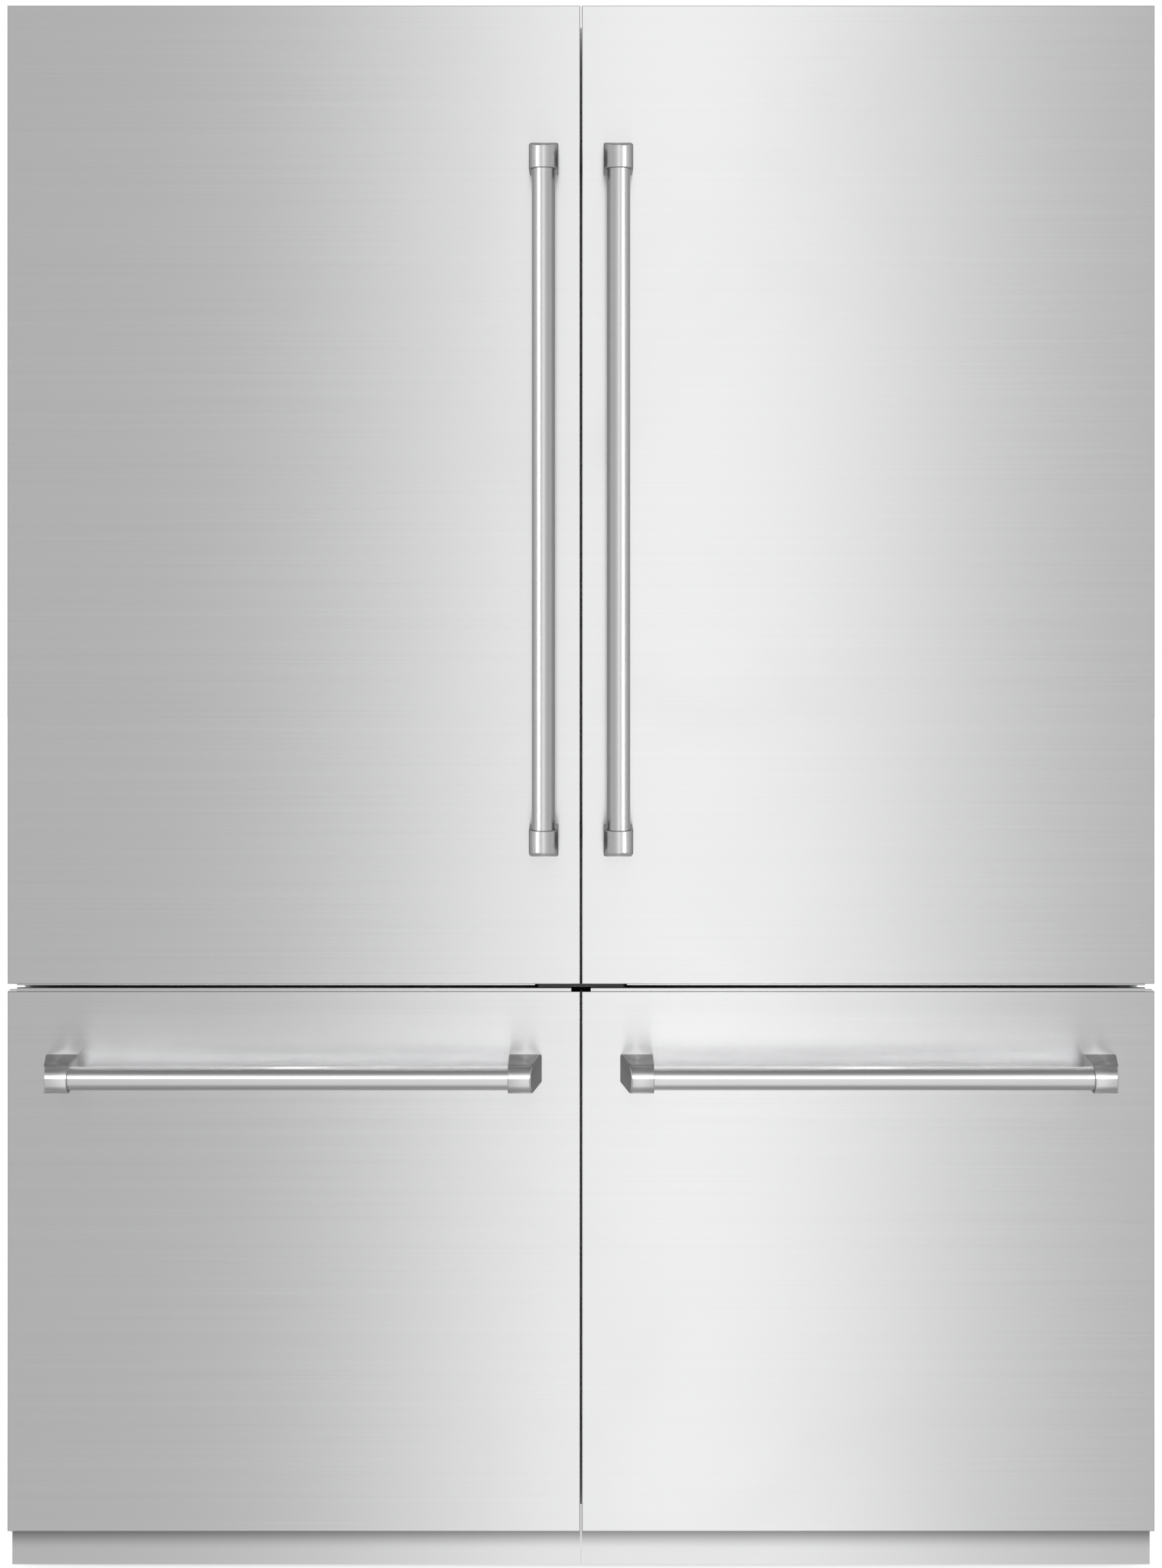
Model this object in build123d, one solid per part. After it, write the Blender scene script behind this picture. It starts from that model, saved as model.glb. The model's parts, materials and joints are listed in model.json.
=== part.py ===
from build123d import *
import math
import os

# Two refrigerator columns side by side, each with one hinged door over one freezer drawer.
# Millimetres. +X is to the right seen from the front, the front faces -Y, +Z is up.
# The origin is on the floor, at the middle of the overall box.

# ---- overall sizes ----
PAIR_WIDTH = 1520.0
HEIGHT = 2077.0
CASE_DEPTH = 545.0
DRAWER_HEIGHT = 715.0
TOE_HEIGHT = 56.0
SEAM = 2.0
FRONT_GAP = 10.0

# ---- fronts ----
PANEL_THICK = 20.0
PANEL_SHEET = 1.5
PANEL_EDGE_RADIUS = 1.2
PANEL_OVERHANG = 11.0
PANEL_RISE = 12.0
CORE_THICK = 45.0
CORE_INNER_INSET = 5.0
CORE_GAP_INSET = 4.0
CORE_TOE_INSET = 8.0
CORE_TOP_DROP = 3.0
GASKET_GAP = 10.0
GASKET_CLEAR = 0.4
GASKET_INSET = 15.0
GASKET_WIDTH = 16.0
GASKET_LAND = 9.0

# ---- handles ----
HANDLE_REACH = 76.0
BAR_RADIUS = 15.0
COLLAR_RADIUS = 19.0
BRACKET_LENGTH = 43.0
BRACKET_SLANT = 13.0
SOCKET_DEPTH = 22.0
SOCKET_CLEAR = 0.4
SOCKET_END = 1.0
BRACKET_BASE_RADIUS = 3.0
DOOR_HANDLE_LIFT = 169.0
DOOR_HANDLE_DROP = 181.5
DOOR_HANDLE_INSET = 48.0
DRAWER_HANDLE_MARGIN = 51.0
DRAWER_HANDLE_DROP = 102.0

# ---- cabinets ----
SHEET = 1.5
LINER = 2.0
REAR_WALL = 50.0
BASE_CLEAR = 34.0
BASE_HEIGHT = 14.0
BASE_PLATE = 3.0
MACHINE_HEIGHT = 200.0
MACHINE_DEPTH = 210.0
MACHINE_WALL = 50.0
MACHINE_COVER_RECESS = 13.0
COVER_CLEAR = 1.0
VENT_ROWS = 4
VENT_COLUMNS = 9
VENT_HALF = 22.0
VENT_HEIGHT = 7.0
VENT_SIDE_MARGIN = 60.0
VENT_LOW_MARGIN = 60.0
VENT_HIGH_MARGIN = 50.0
GLAND_RADIUS = 8.0
GLAND_CLEAR = 0.1
GLAND_LENGTH = 24.0
GLAND_COLLAR = 3.0
GLAND_COLLAR_LENGTH = 4.0
GLAND_RISE = 35.0
GLAND_OUTSIDE_CAVITY = 8.0
CORD_RADIUS = 4.1
KICK_RECESS = 22.0
KICK_CLEAR = 3.0
KICK_END_CLEAR = 1.5
KICK_TOP_CLEAR = 5.0
KICK_LIP = 16.0
KICK_TAB_HALF = 15.0
KICK_TAB_MARGIN = 4.0

# ---- hinges ----
PIN_RADIUS = 5.0
PIN_CLEAR = 0.08
PIN_LENGTH = 18.0
HINGE_PLATE = 5.0
HINGE_EYE = 11.0
HINGE_FROM_CORE_SIDE = 15.0
HINGE_FROM_PANEL = 14.0
TOP_PLATE_U = (-70.0, -28.0)
TOP_PLATE_SETBACK = (30.0, 90.0)
TOP_SCREW_SPOTS = ((38.0, 45.0), (60.0, 45.0), (49.0, 75.0))
MIDDLE_PLATE_RISE = 2.0
MIDDLE_PLATE_U = (-75.0, 5.0)
MIDDLE_PLATE_DEPTH = 9.0
MIDDLE_SCREW_SHIFTS = (-30.0, 0.0, 30.0)
MIDDLE_BACK_HALF = 40.0
MIDDLE_BACK_THICK = 3.0
MIDDLE_BACK_DROP = 14.0
MIDDLE_BACK_RISE = 6.0

# ---- fixings ----
SCREW_RADIUS = 2.5
SCREW_HOLE = 2.75
SCREW_HEAD = 5.0
SCREW_HEAD_HEIGHT = 2.5
SCREW_HEAD_EDGE = 1.0
MIDDLE_HEAD = 2.0
STRAP_THICK = 3.0
STRAP_HALF = 60.0
STRAP_CORNER = 6.0
STRAP_SCREW_MARGIN = 20.0
STRAP_SCREW_HALF = 15.0
STRAP_REAR_INSETS = (150.0, 90.0)
FIX_HALF = 45.0
FIX_SCREW_HALF = 25.0
FIX_HOLE_SPACING = 60.0
FIX_HOLE_SETBACK = 18.0
FIX_SETBACKS = (60.0, 130.0)
FIX_FOOT = 26.0
FIX_SCREW_MARGIN = 12.0
FIX_TOP_CLEAR = 2.0
CENTRE_HALF = 58.0
CENTRE_SETBACK = 8.0
CENTRE_DROP = 5.0
CENTRE_THICK = 4.0
CENTRE_CORNER = 3.0
CENTRE_LUG = 16.0
CENTRE_LUG_THICK = 3.0

# ---- inside the fresh-food compartment ----
SHELF_COUNT = 4
LOWEST_SHELF_RISE = 300.0
TOP_SHELF_DROP = 252.0
SHELF_THICK = 12.0
SHELF_EDGE = 14.0
GLASS_THICK = 4.0
GLASS_SEAT = 6.0
SHELF_SIDE_CLEAR = 5.0
SHELF_REAR_CLEAR = 24.0
SHELF_FRONT_CLEAR = 12.0
SHELF_CORNER = 6.0
TRACK_THICK = 10.0
TRACK_WIDTH = 22.0
TRACK_INSET = 90.0
TRACK_LOW = 240.0
TRACK_HIGH = 60.0
ARM_DEPTH = 42.0
ARM_TIP = 10.0
ARM_FRONT_CLEAR = 90.0
ARM_THICK = 3.0
LEDGE_REACH = 12.0
BIN_DEPTH = 105.0
BIN_HEIGHT = 112.0
BIN_COUNT = 4
BIN_LOWEST_RISE = 40.0
TOP_BIN_DROP = 257.0
BIN_WALL = 3.0
BIN_CORNER = 8.0
BIN_SIDE_CLEAR = 1.0
RIB_WIDTH = 15.0
RIB_DEPTH = 50.0
RIB_INSET = 14.0
CRISPER_HEIGHT = 132.0
CRISPER_WALL = 3.0
CRISPER_COUNT = 2
CRISPER_FLOOR_CLEAR = 6.0
CRISPER_GAP = 12.0
CRISPER_SIDE_CLEAR = 8.0
CRISPER_FRONT_SETBACK = 4.0
CRISPER_REAR_SETBACK = 10.0
CRISPER_CORNER = 10.0
GRIP_END_INSET = 200.0
GRIP_HALF = 4.0
GRIP_HEIGHT = 22.0
LIGHT_THICK = 3.0
LIGHT_SETBACKS = (38.0, 52.0)
LIGHT_END_CLEAR = 90.0
CONTROL_HALF = 130.0
CONTROL_SETBACKS = (10.0, 90.0)
CONTROL_THICK = 14.0
CONTROL_CORNER = 8.0
DUCT_HALF = 70.0
DUCT_THICK = 16.0
DUCT_VENT_SHIFT = 35.0
DUCT_VENT_HALF = 22.0
DUCT_VENT_RISE = 90.0
DUCT_VENT_HEIGHT = 8.0

# ---- inside the freezer compartment ----
SLIDE_FRONT_GAP = 12.0
SLIDE_REAR_GAP = 21.0
SLIDE_HEIGHT = 46.0
SLIDE_PLATE = 2.5
SLIDE_CLEAR = 0.5
SLIDE_RISE = 120.0
BASKET_WALL = 3.0
BASKET_FLOOR_RISE = 12.0
TRAY_HEIGHT = 150.0
TRAY_FRONT_GAP = 20.0
TRAY_REAR_GAP = 33.0
TRAY_TRAVEL = 130.0
MOVING_CLEAR = 0.5
TUB_CORNER = 12.0
LEDGE_WIDTH = 16.0
LEDGE_RISE = 2.0
TAB_REACH = 60.0
TAB_MARGIN = 30.0
BASKET_FRONT_GAP = 16.0
BASKET_STEP_GAP = 12.0
BASKET_RIM_INSET = 14.0
BASKET_SIDE_CLEAR = 1.0
TRAY_SIDE_CLEAR = 3.0
COVER_SETBACK = 62.0
COVER_THICK = 3.0
COVER_EDGE_CLEAR = 4.0
GRILLE_SLOTS = 5
GRILLE_SPAN = 60.0
GRILLE_HALF = 45.0

# ---- machinery ----
FAN_RADIUS = 62.0
FAN_BLADES = 5
FAN_HUB_RADIUS = 18.0
FAN_THICK = 22.0
FAN_BLADE_CHORD = 30.0
FAN_BLADE_THICK = 2.0
FAN_BLADE_PITCH = 28.0
FAN_BLADE_ROOT = 3.0
EVAP_FAN_RADIUS = 48.0
EVAP_FAN_DROP = 26.0
EVAP_FAN_SETBACK = 30.0
EVAP_DEPTHS = (52.0, 6.0)
EVAP_RISE = 20.0
EVAP_BELOW_FAN = 40.0
EVAP_SIDE_CLEAR = 60.0
EVAP_FINS = 24
EVAP_MOTOR_RADIUS = 20.0
CONDENSER_FINS = 16
CONDENSER_INSET = 40.0
CONDENSER_WIDTH = 200.0
CONDENSER_HALF = 70.0
CONDENSER_HEIGHT = 165.0
CONDENSER_FAN_GAP = 40.0
CONDENSER_FAN_RISE = 92.0
CONDENSER_MOTOR_RADIUS = 24.0
CONDENSER_MOTOR_LENGTH = 45.0
FIN_SLOT_HALF = 3.0
FIN_SLOT_DEPTH = 12.0
FIN_FRAME = 8.0
FIN_END = 14.0
MOTOR_GAP = 2.0
STAND_INSET = 10.0
STAND_HALF = 20.0
MACHINE_CENTRE = 96.0
COMPRESSOR_INSET = 135.0
COMPRESSOR_RADIUS = 74.0
COMPRESSOR_HEIGHT = 150.0
COMPRESSOR_ROUND = 34.0
COMPRESSOR_LIFT = 12.0
COMPRESSOR_FOOT = (88.0, 60.0)
COMPRESSOR_FOOT_THICK = 4.0
COMPRESSOR_GROMMETS = (76.0, 46.0)
GROMMET_RADIUS = 9.0
PIPE_RADIUS = 4.0
PIPE_SPACING = 22.0
PIPE_REACH = 95.0
PIPE_LENGTH = 40.0
PIPE_RISE = 70.0
SHAFT_RADIUS = 3.0
RUNNING_CLEAR = 0.08
ROLLER_RADIUS = 16.0
ROLLER_WIDTH = 24.0
AXLE_RADIUS = 4.0
FORK_PLATE = 2.5
FOOT_RADIUS = 18.0
FOOT_PAD = 8.0
FOOT_PAD_EDGE = 2.0
FOOT_NUT_RADIUS = 10.0
FOOT_STEM_RADIUS = 5.0
SUPPORT_INSET = 70.0
FOOT_FRONT_INSET = 37.0
ROLLER_REAR_INSET = 48.0
FORK_CLEAR = 1.5
FORK_HALF = 14.0
FORK_DROP = 9.0

# ---- places worked out from the sizes above ----
TOTAL_DEPTH = HANDLE_REACH + PANEL_THICK + CORE_THICK + GASKET_GAP + CASE_DEPTH
PANEL_FRONT = HANDLE_REACH - TOTAL_DEPTH / 2
PANEL_BACK = PANEL_FRONT + PANEL_THICK
CORE_BACK = PANEL_BACK + CORE_THICK
CASE_FRONT = CORE_BACK + GASKET_GAP
CASE_BACK = CASE_FRONT + CASE_DEPTH

COLUMN_IN = SEAM / 2
COLUMN_OUT = PAIR_WIDTH / 2
CASE_OUT = COLUMN_OUT - PANEL_OVERHANG
CORE_IN = COLUMN_IN + CORE_INNER_INSET
FLANGE = GASKET_INSET + GASKET_WIDTH + GASKET_LAND
CAVITY_IN = CORE_IN + FLANGE
CAVITY_OUT = CASE_OUT - FLANGE

CASE_BOTTOM = BASE_CLEAR + BASE_HEIGHT
CASE_TOP = HEIGHT - PANEL_RISE
DRAWER_BOTTOM = TOE_HEIGHT
DRAWER_TOP = DRAWER_BOTTOM + DRAWER_HEIGHT
DOOR_BOTTOM = DRAWER_TOP + FRONT_GAP
DOOR_TOP = HEIGHT
DRAWER_CORE = (DRAWER_BOTTOM + CORE_TOE_INSET, DRAWER_TOP - CORE_GAP_INSET)
DOOR_CORE = (DOOR_BOTTOM + CORE_GAP_INSET, CASE_TOP - CORE_TOP_DROP)
FREEZER = (DRAWER_CORE[0] + FLANGE, DRAWER_CORE[1] - FLANGE)
FRIDGE = (DOOR_CORE[0] + FLANGE, DOOR_CORE[1] - FLANGE)
CAVITY_BACK = CASE_BACK - REAR_WALL
LINER_FRONT = CASE_FRONT + SHEET
MACHINE_TOP = CASE_BOTTOM + MACHINE_HEIGHT
MACHINE_FRONT = CASE_BACK - MACHINE_DEPTH
STEP_TOP = MACHINE_TOP + MACHINE_WALL
STEP_FRONT = MACHINE_FRONT - MACHINE_WALL
PIVOT_X = CASE_OUT - HINGE_FROM_CORE_SIDE
PIVOT_Y = PANEL_BACK + HINGE_FROM_PANEL
CORE_FRONT = PANEL_BACK
DOOR_HANDLE_LENGTH = DOOR_TOP - DOOR_BOTTOM - DOOR_HANDLE_LIFT - DOOR_HANDLE_DROP
DRAWER_HANDLE_LENGTH = COLUMN_OUT - COLUMN_IN - 2 * DRAWER_HANDLE_MARGIN
MIDDLE_U = (CAVITY_IN + CAVITY_OUT) / 2
COVER_Y = (CAVITY_BACK - COVER_SETBACK, CAVITY_BACK - COVER_SETBACK + COVER_THICK)

SIDES = {"left": -1, "right": 1}


# ---- helpers ----
def block(x_pair, y_pair, z_pair):
    """A box between two limits on each axis, given in any order."""
    spans = [sorted(pair) for pair in (x_pair, y_pair, z_pair)]
    sizes = [high - low for low, high in spans]
    middle = [(high + low) / 2 for low, high in spans]
    return Pos(*middle) * Box(*sizes)


def across(side, inner, outer):
    """Limits on X, from distances out from the seam between the columns."""
    return (side * inner, side * outer)


def round_bar(start, radius, length, axis):
    """A cylinder from a start point along X, Y or Z."""
    turns = {"X": Rot(0, 90, 0), "Y": Rot(-90, 0, 0), "Z": Rot(0, 0, 0)}
    rod = Cylinder(radius, length, align=(Align.CENTER, Align.CENTER, Align.MIN))
    return Pos(*start) * turns[axis] * rod


def upright_edges(shape):
    return shape.edges().filter_by(Axis.Z)


def tub(x_pair, y_pair, z_pair, wall, radius):
    """An open-topped container with rounded upright corners."""
    outside = block(x_pair, y_pair, z_pair)
    outside = fillet(upright_edges(outside), radius)
    low_x, high_x = sorted(x_pair)
    low_y, high_y = sorted(y_pair)
    low_z, high_z = sorted(z_pair)
    inside_x = (low_x + wall, high_x - wall)
    inside_y = (low_y + wall, high_y - wall)
    inside = block(inside_x, inside_y, (low_z + wall, high_z + wall))
    inside = fillet(upright_edges(inside), max(radius - wall, 0.5))
    return outside - inside


def frame_ring(x_pair, y_pair, z_pair, width):
    """A flat rectangular ring lying in the XZ plane."""
    low_x, high_x = sorted(x_pair)
    low_z, high_z = sorted(z_pair)
    hole_y = (min(y_pair) - 1, max(y_pair) + 1)
    hole = block((low_x + width, high_x - width), hole_y, (low_z + width, high_z - width))
    return block(x_pair, y_pair, z_pair) - hole


def save(name, shapes):
    """Write one node's solids to its own file."""
    solids = []
    for shape in shapes:
        solids.extend(shape.solids())
    export_step(Compound(children=solids), f"parts/{name}.step")


def for_both(make):
    """The same piece of both columns, as one list."""
    return [shape for side in SIDES.values() for shape in make(side)]


# ---- fronts: stainless panels, insulated cores, gaskets ----
def front_panel(side, z_pair):
    """A folded stainless pan, open at the back where the core's backing board fills it."""
    outside = block(across(side, COLUMN_IN, COLUMN_OUT), (PANEL_FRONT, PANEL_BACK), z_pair)
    front_edges = outside.faces().sort_by(Axis.Y)[0].edges()
    outside = fillet(front_edges, PANEL_EDGE_RADIUS)
    outside = fillet(upright_edges(outside).group_by(Axis.Y)[-1], PANEL_EDGE_RADIUS / 2)
    return outside - front_pocket(side, z_pair, PANEL_SHEET)


def front_pocket(side, z_pair, inset):
    return block(
        across(side, COLUMN_IN + inset, COLUMN_OUT - inset),
        (PANEL_FRONT + inset, PANEL_BACK),
        (z_pair[0] + inset, z_pair[1] - inset),
    )


def front_core(side, panel_z, core_z):
    """The foamed body of a front, with the backing board that fills its stainless pan."""
    slab = block(across(side, CORE_IN, CASE_OUT), (CORE_FRONT, CORE_BACK), core_z)
    return slab + front_pocket(side, panel_z, PANEL_SHEET)


def gasket(side, core_z):
    """The magnetic seal that lies between a core and the cabinet's front frame."""
    ring = frame_ring(
        across(side, CORE_IN + GASKET_INSET, CASE_OUT - GASKET_INSET),
        (CORE_BACK, CASE_FRONT - GASKET_CLEAR),
        (core_z[0] + GASKET_INSET, core_z[1] - GASKET_INSET),
        GASKET_WIDTH,
    )
    return ring


def hinge_hole(side, start_z):
    return round_bar(
        (side * PIVOT_X, PIVOT_Y, start_z), PIN_RADIUS + PIN_CLEAR, PIN_LENGTH + HINGE_PLATE, "Z"
    )


RIB_IN = (CAVITY_IN + RIB_INSET, CAVITY_IN + RIB_INSET + RIB_WIDTH)
RIB_OUT = (CAVITY_OUT - RIB_INSET - RIB_WIDTH, CAVITY_OUT - RIB_INSET)
RIB_Z = (FRIDGE[0] + RIB_INSET, FRIDGE[1] - RIB_INSET)


def door_core(side):
    """The insulated door, with two upright ribs inside that carry its bins."""
    core = front_core(side, (DOOR_BOTTOM, DOOR_TOP), DOOR_CORE)
    for rib in (RIB_IN, RIB_OUT):
        core += block(across(side, *rib), (CORE_BACK, CORE_BACK + RIB_DEPTH), RIB_Z)
    core -= hinge_hole(side, DOOR_CORE[0] - HINGE_PLATE)
    core -= hinge_hole(side, DOOR_CORE[1] - PIN_LENGTH)
    return core


def evenly(first, last, count):
    """Evenly spaced values from first to last."""
    return [first + index * (last - first) / (count - 1) for index in range(count)]


def bin_heights():
    return evenly(FRIDGE[0] + BIN_LOWEST_RISE, FRIDGE[1] - TOP_BIN_DROP, BIN_COUNT)


def door_bins(side):
    """Open bins that hang between the door's ribs."""
    bins = []
    for low in bin_heights():
        bins.append(
            tub(
                across(side, RIB_IN[1] + BIN_SIDE_CLEAR, RIB_OUT[0] - BIN_SIDE_CLEAR),
                (CORE_BACK, CORE_BACK + BIN_DEPTH),
                (low, low + BIN_HEIGHT),
                BIN_WALL,
                BIN_CORNER,
            )
        )
    return bins


# ---- handles: a round bar held in two end brackets ----
BAR_AXIS_Y = PANEL_FRONT - HANDLE_REACH + COLLAR_RADIUS


def handle_bracket():
    """One end bracket, drawn with its bar along +Z and its outer end at Z = 0."""
    depth = PANEL_FRONT - BAR_AXIS_Y
    stem = block((-COLLAR_RADIUS, COLLAR_RADIUS), (0, depth), (0, BRACKET_LENGTH))
    nose = round_bar((0, 0, 0), COLLAR_RADIUS, BRACKET_LENGTH, "Z")
    body = stem + nose
    slant = math.degrees(math.atan2(BRACKET_SLANT, HANDLE_REACH))
    below = (Align.CENTER, Align.CENTER, Align.MAX)
    waste = Box(4 * COLLAR_RADIUS, 4 * HANDLE_REACH, HANDLE_REACH, align=below)
    body -= Pos(0, depth, 0) * Rot(-slant, 0, 0) * waste
    body = fillet(body.faces().sort_by(Axis.Y)[-1].edges().filter_by(Axis.Z), BRACKET_BASE_RADIUS)
    socket = round_bar(
        (0, 0, BRACKET_LENGTH - SOCKET_DEPTH), BAR_RADIUS + SOCKET_CLEAR, SOCKET_DEPTH, "Z"
    )
    return body - socket


def handle_at(length):
    """Bar and brackets of one handle along +Z, centred on the bar's middle."""
    bracket = handle_bracket()
    low = Pos(0, 0, -length / 2) * bracket
    high = Pos(0, 0, length / 2) * mirror(bracket, about=Plane.XY)
    bar_length = length - 2 * (BRACKET_LENGTH - SOCKET_DEPTH + SOCKET_END)
    bar = round_bar((0, 0, -bar_length / 2), BAR_RADIUS, bar_length, "Z")
    return bar, [low, high]


def door_handle(side):
    place = Pos(
        side * (COLUMN_IN + DOOR_HANDLE_INSET),
        BAR_AXIS_Y,
        DOOR_BOTTOM + DOOR_HANDLE_LIFT + DOOR_HANDLE_LENGTH / 2,
    )
    bar, brackets = handle_at(DOOR_HANDLE_LENGTH)
    return place * bar, [place * bracket for bracket in brackets]


def drawer_handle(side):
    middle = side * (COLUMN_IN + COLUMN_OUT) / 2
    place = Pos(middle, BAR_AXIS_Y, DRAWER_TOP - DRAWER_HANDLE_DROP) * Rot(0, 90, 0)
    bar, brackets = handle_at(DRAWER_HANDLE_LENGTH)
    return place * bar, [place * bracket for bracket in brackets]


# ---- cabinet shells, liners and insulation ----
def fridge_space(side, grow=0.0, front=None):
    start = CASE_FRONT - 1 if front is None else front
    return block(
        across(side, CAVITY_IN - grow, CAVITY_OUT + grow),
        (start, CAVITY_BACK + grow),
        (FRIDGE[0] - grow, FRIDGE[1] + grow),
    )


def freezer_space(side, grow=0.0, front=None):
    """The freezer's room, whose floor steps up over the machine compartment."""
    start = CASE_FRONT - 1 if front is None else front
    wide = across(side, CAVITY_IN - grow, CAVITY_OUT + grow)
    low_part = block(wide, (start, STEP_FRONT + grow), (FREEZER[0] - grow, FREEZER[1] + grow))
    high_part = block(wide, (start, CAVITY_BACK + grow), (STEP_TOP - grow, FREEZER[1] + grow))
    return low_part + high_part


def outer_case(side):
    """Sides, top and front frame, folded from one sheet."""
    outside = block(across(side, COLUMN_IN, CASE_OUT), (CASE_FRONT, CASE_BACK), (CASE_BOTTOM, CASE_TOP))
    inside = block(
        across(side, COLUMN_IN + SHEET, CASE_OUT - SHEET),
        (CASE_FRONT + SHEET, CASE_BACK + 1),
        (CASE_BOTTOM - 1, CASE_TOP - SHEET),
    )
    shell = outside - inside - fridge_space(side) - freezer_space(side)
    for x, y in top_screw_places(side):
        shell -= round_bar((x, y, CASE_TOP - SHEET - 1), SCREW_HOLE, SHEET + 2, "Z")
    return shell


def back_panel(side):
    return block(
        across(side, COLUMN_IN + SHEET, CASE_OUT - SHEET),
        (CASE_BACK - SHEET, CASE_BACK),
        (MACHINE_TOP, CASE_TOP - SHEET),
    )


def machine_cover(side):
    """A vented steel cover over the rear machine compartment."""
    y_high = CASE_BACK - MACHINE_COVER_RECESS
    cover = block(
        across(side, COLUMN_IN + SHEET + COVER_CLEAR, CASE_OUT - SHEET - COVER_CLEAR),
        (y_high - SHEET, y_high),
        (CASE_BOTTOM + COVER_CLEAR, MACHINE_TOP - COVER_CLEAR),
    )
    through = (y_high - 2 * SHEET, y_high + SHEET)
    for height in evenly(CASE_BOTTOM + VENT_LOW_MARGIN, MACHINE_TOP - VENT_HIGH_MARGIN, VENT_ROWS):
        for middle in evenly(CAVITY_IN + VENT_SIDE_MARGIN, CAVITY_OUT - VENT_SIDE_MARGIN, VENT_COLUMNS):
            vent_x = across(side, middle - VENT_HALF, middle + VENT_HALF)
            cover -= block(vent_x, through, (height, height + VENT_HEIGHT))
    gland_hole = (gland_x(side), through[0], gland_z())
    cover -= round_bar(gland_hole, GLAND_RADIUS + GLAND_CLEAR, 3 * SHEET, "Y")
    return cover



def gland_x(side):
    return side * (CAVITY_OUT + GLAND_OUTSIDE_CAVITY)


def gland_z():
    return CASE_BOTTOM + GLAND_RISE


def cord_gland(side):
    """The strain relief through which the supply cord enters."""
    y_high = CASE_BACK - MACHINE_COVER_RECESS
    x, z = gland_x(side), gland_z()
    sleeve_length = GLAND_LENGTH / 2 + GLAND_COLLAR_LENGTH
    sleeve = round_bar((x, y_high - GLAND_LENGTH / 2, z), GLAND_RADIUS, sleeve_length, "Y")
    collar = round_bar((x, y_high, z), GLAND_RADIUS + GLAND_COLLAR, GLAND_COLLAR_LENGTH, "Y")
    bore = round_bar((x, y_high - GLAND_LENGTH, z), CORD_RADIUS, 2 * GLAND_LENGTH, "Y")
    return sleeve + collar - bore


def insulation(side):
    """Foam between the outer case and the liners."""
    foam = block(
        across(side, COLUMN_IN + SHEET, CASE_OUT - SHEET),
        (LINER_FRONT, CASE_BACK - SHEET),
        (CASE_BOTTOM, CASE_TOP - SHEET),
    )
    foam -= fridge_space(side, LINER) + freezer_space(side, LINER)
    foam -= block(
        across(side, COLUMN_IN, CASE_OUT), (MACHINE_FRONT, CASE_BACK + 1), (CASE_BOTTOM - 1, MACHINE_TOP)
    )
    return foam


def fridge_liner(side):
    return fridge_space(side, LINER, LINER_FRONT) - fridge_space(side)


def freezer_liner(side):
    return freezer_space(side, LINER, LINER_FRONT) - freezer_space(side)


# ---- base: frame, roller forks, feet, kick plate ----
ROLLER_Y = CASE_BACK - ROLLER_REAR_INSET
FOOT_Y = CASE_FRONT + FOOT_FRONT_INSET
FORK_GAP = ROLLER_WIDTH / 2 + FORK_CLEAR


def support_places(side):
    """Where the feet and rollers stand across one column."""
    return (side * (COLUMN_IN + SUPPORT_INSET), side * (CASE_OUT - SUPPORT_INSET))


def base_frame(side):
    """A pressed tray under the case, with a fork and an axle for each rear roller."""
    tray = block(across(side, COLUMN_IN, CASE_OUT), (CASE_FRONT, CASE_BACK), (BASE_CLEAR, CASE_BOTTOM))
    tray -= block(
        across(side, COLUMN_IN + SHEET, CASE_OUT - SHEET),
        (CASE_FRONT + SHEET, CASE_BACK - SHEET),
        (BASE_CLEAR - 1, CASE_BOTTOM - BASE_PLATE),
    )
    for x in support_places(side):
        for sign in (-1, 1):
            near = x + sign * FORK_GAP
            far = x + sign * (FORK_GAP + FORK_PLATE)
            tray += block(
                (near, far),
                (ROLLER_Y - FORK_HALF, ROLLER_Y + FORK_HALF),
                (ROLLER_RADIUS - FORK_DROP, CASE_BOTTOM - BASE_PLATE),
            )
        reach = FORK_GAP + FORK_PLATE
        tray += round_bar((x - reach, ROLLER_Y, ROLLER_RADIUS), AXLE_RADIUS, 2 * reach, "X")
    return tray


def rear_rollers(side):
    rollers = []
    for x in support_places(side):
        wheel = round_bar((x - ROLLER_WIDTH / 2, ROLLER_Y, ROLLER_RADIUS), ROLLER_RADIUS, ROLLER_WIDTH, "X")
        bore = round_bar(
            (x - ROLLER_WIDTH, ROLLER_Y, ROLLER_RADIUS), AXLE_RADIUS + RUNNING_CLEAR, 2 * ROLLER_WIDTH, "X"
        )
        rollers.append(wheel - bore)
    return rollers


def levelling_feet(side):
    """Round pads on threaded stems, at the front corners."""
    feet = []
    for x in support_places(side):
        pad = round_bar((x, FOOT_Y, 0), FOOT_RADIUS, FOOT_PAD, "Z")
        pad = fillet(pad.faces().sort_by(Axis.Z)[-1].edges(), FOOT_PAD_EDGE)
        nut = Pos(x, FOOT_Y, FOOT_PAD) * extrude(RegularPolygon(FOOT_NUT_RADIUS, 6), FOOT_PAD)
        stem_length = CASE_BOTTOM - BASE_PLATE - FOOT_PAD
        stem = round_bar((x, FOOT_Y, FOOT_PAD), FOOT_STEM_RADIUS, stem_length, "Z")
        feet.append(pad + nut + stem)
    return feet


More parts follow.
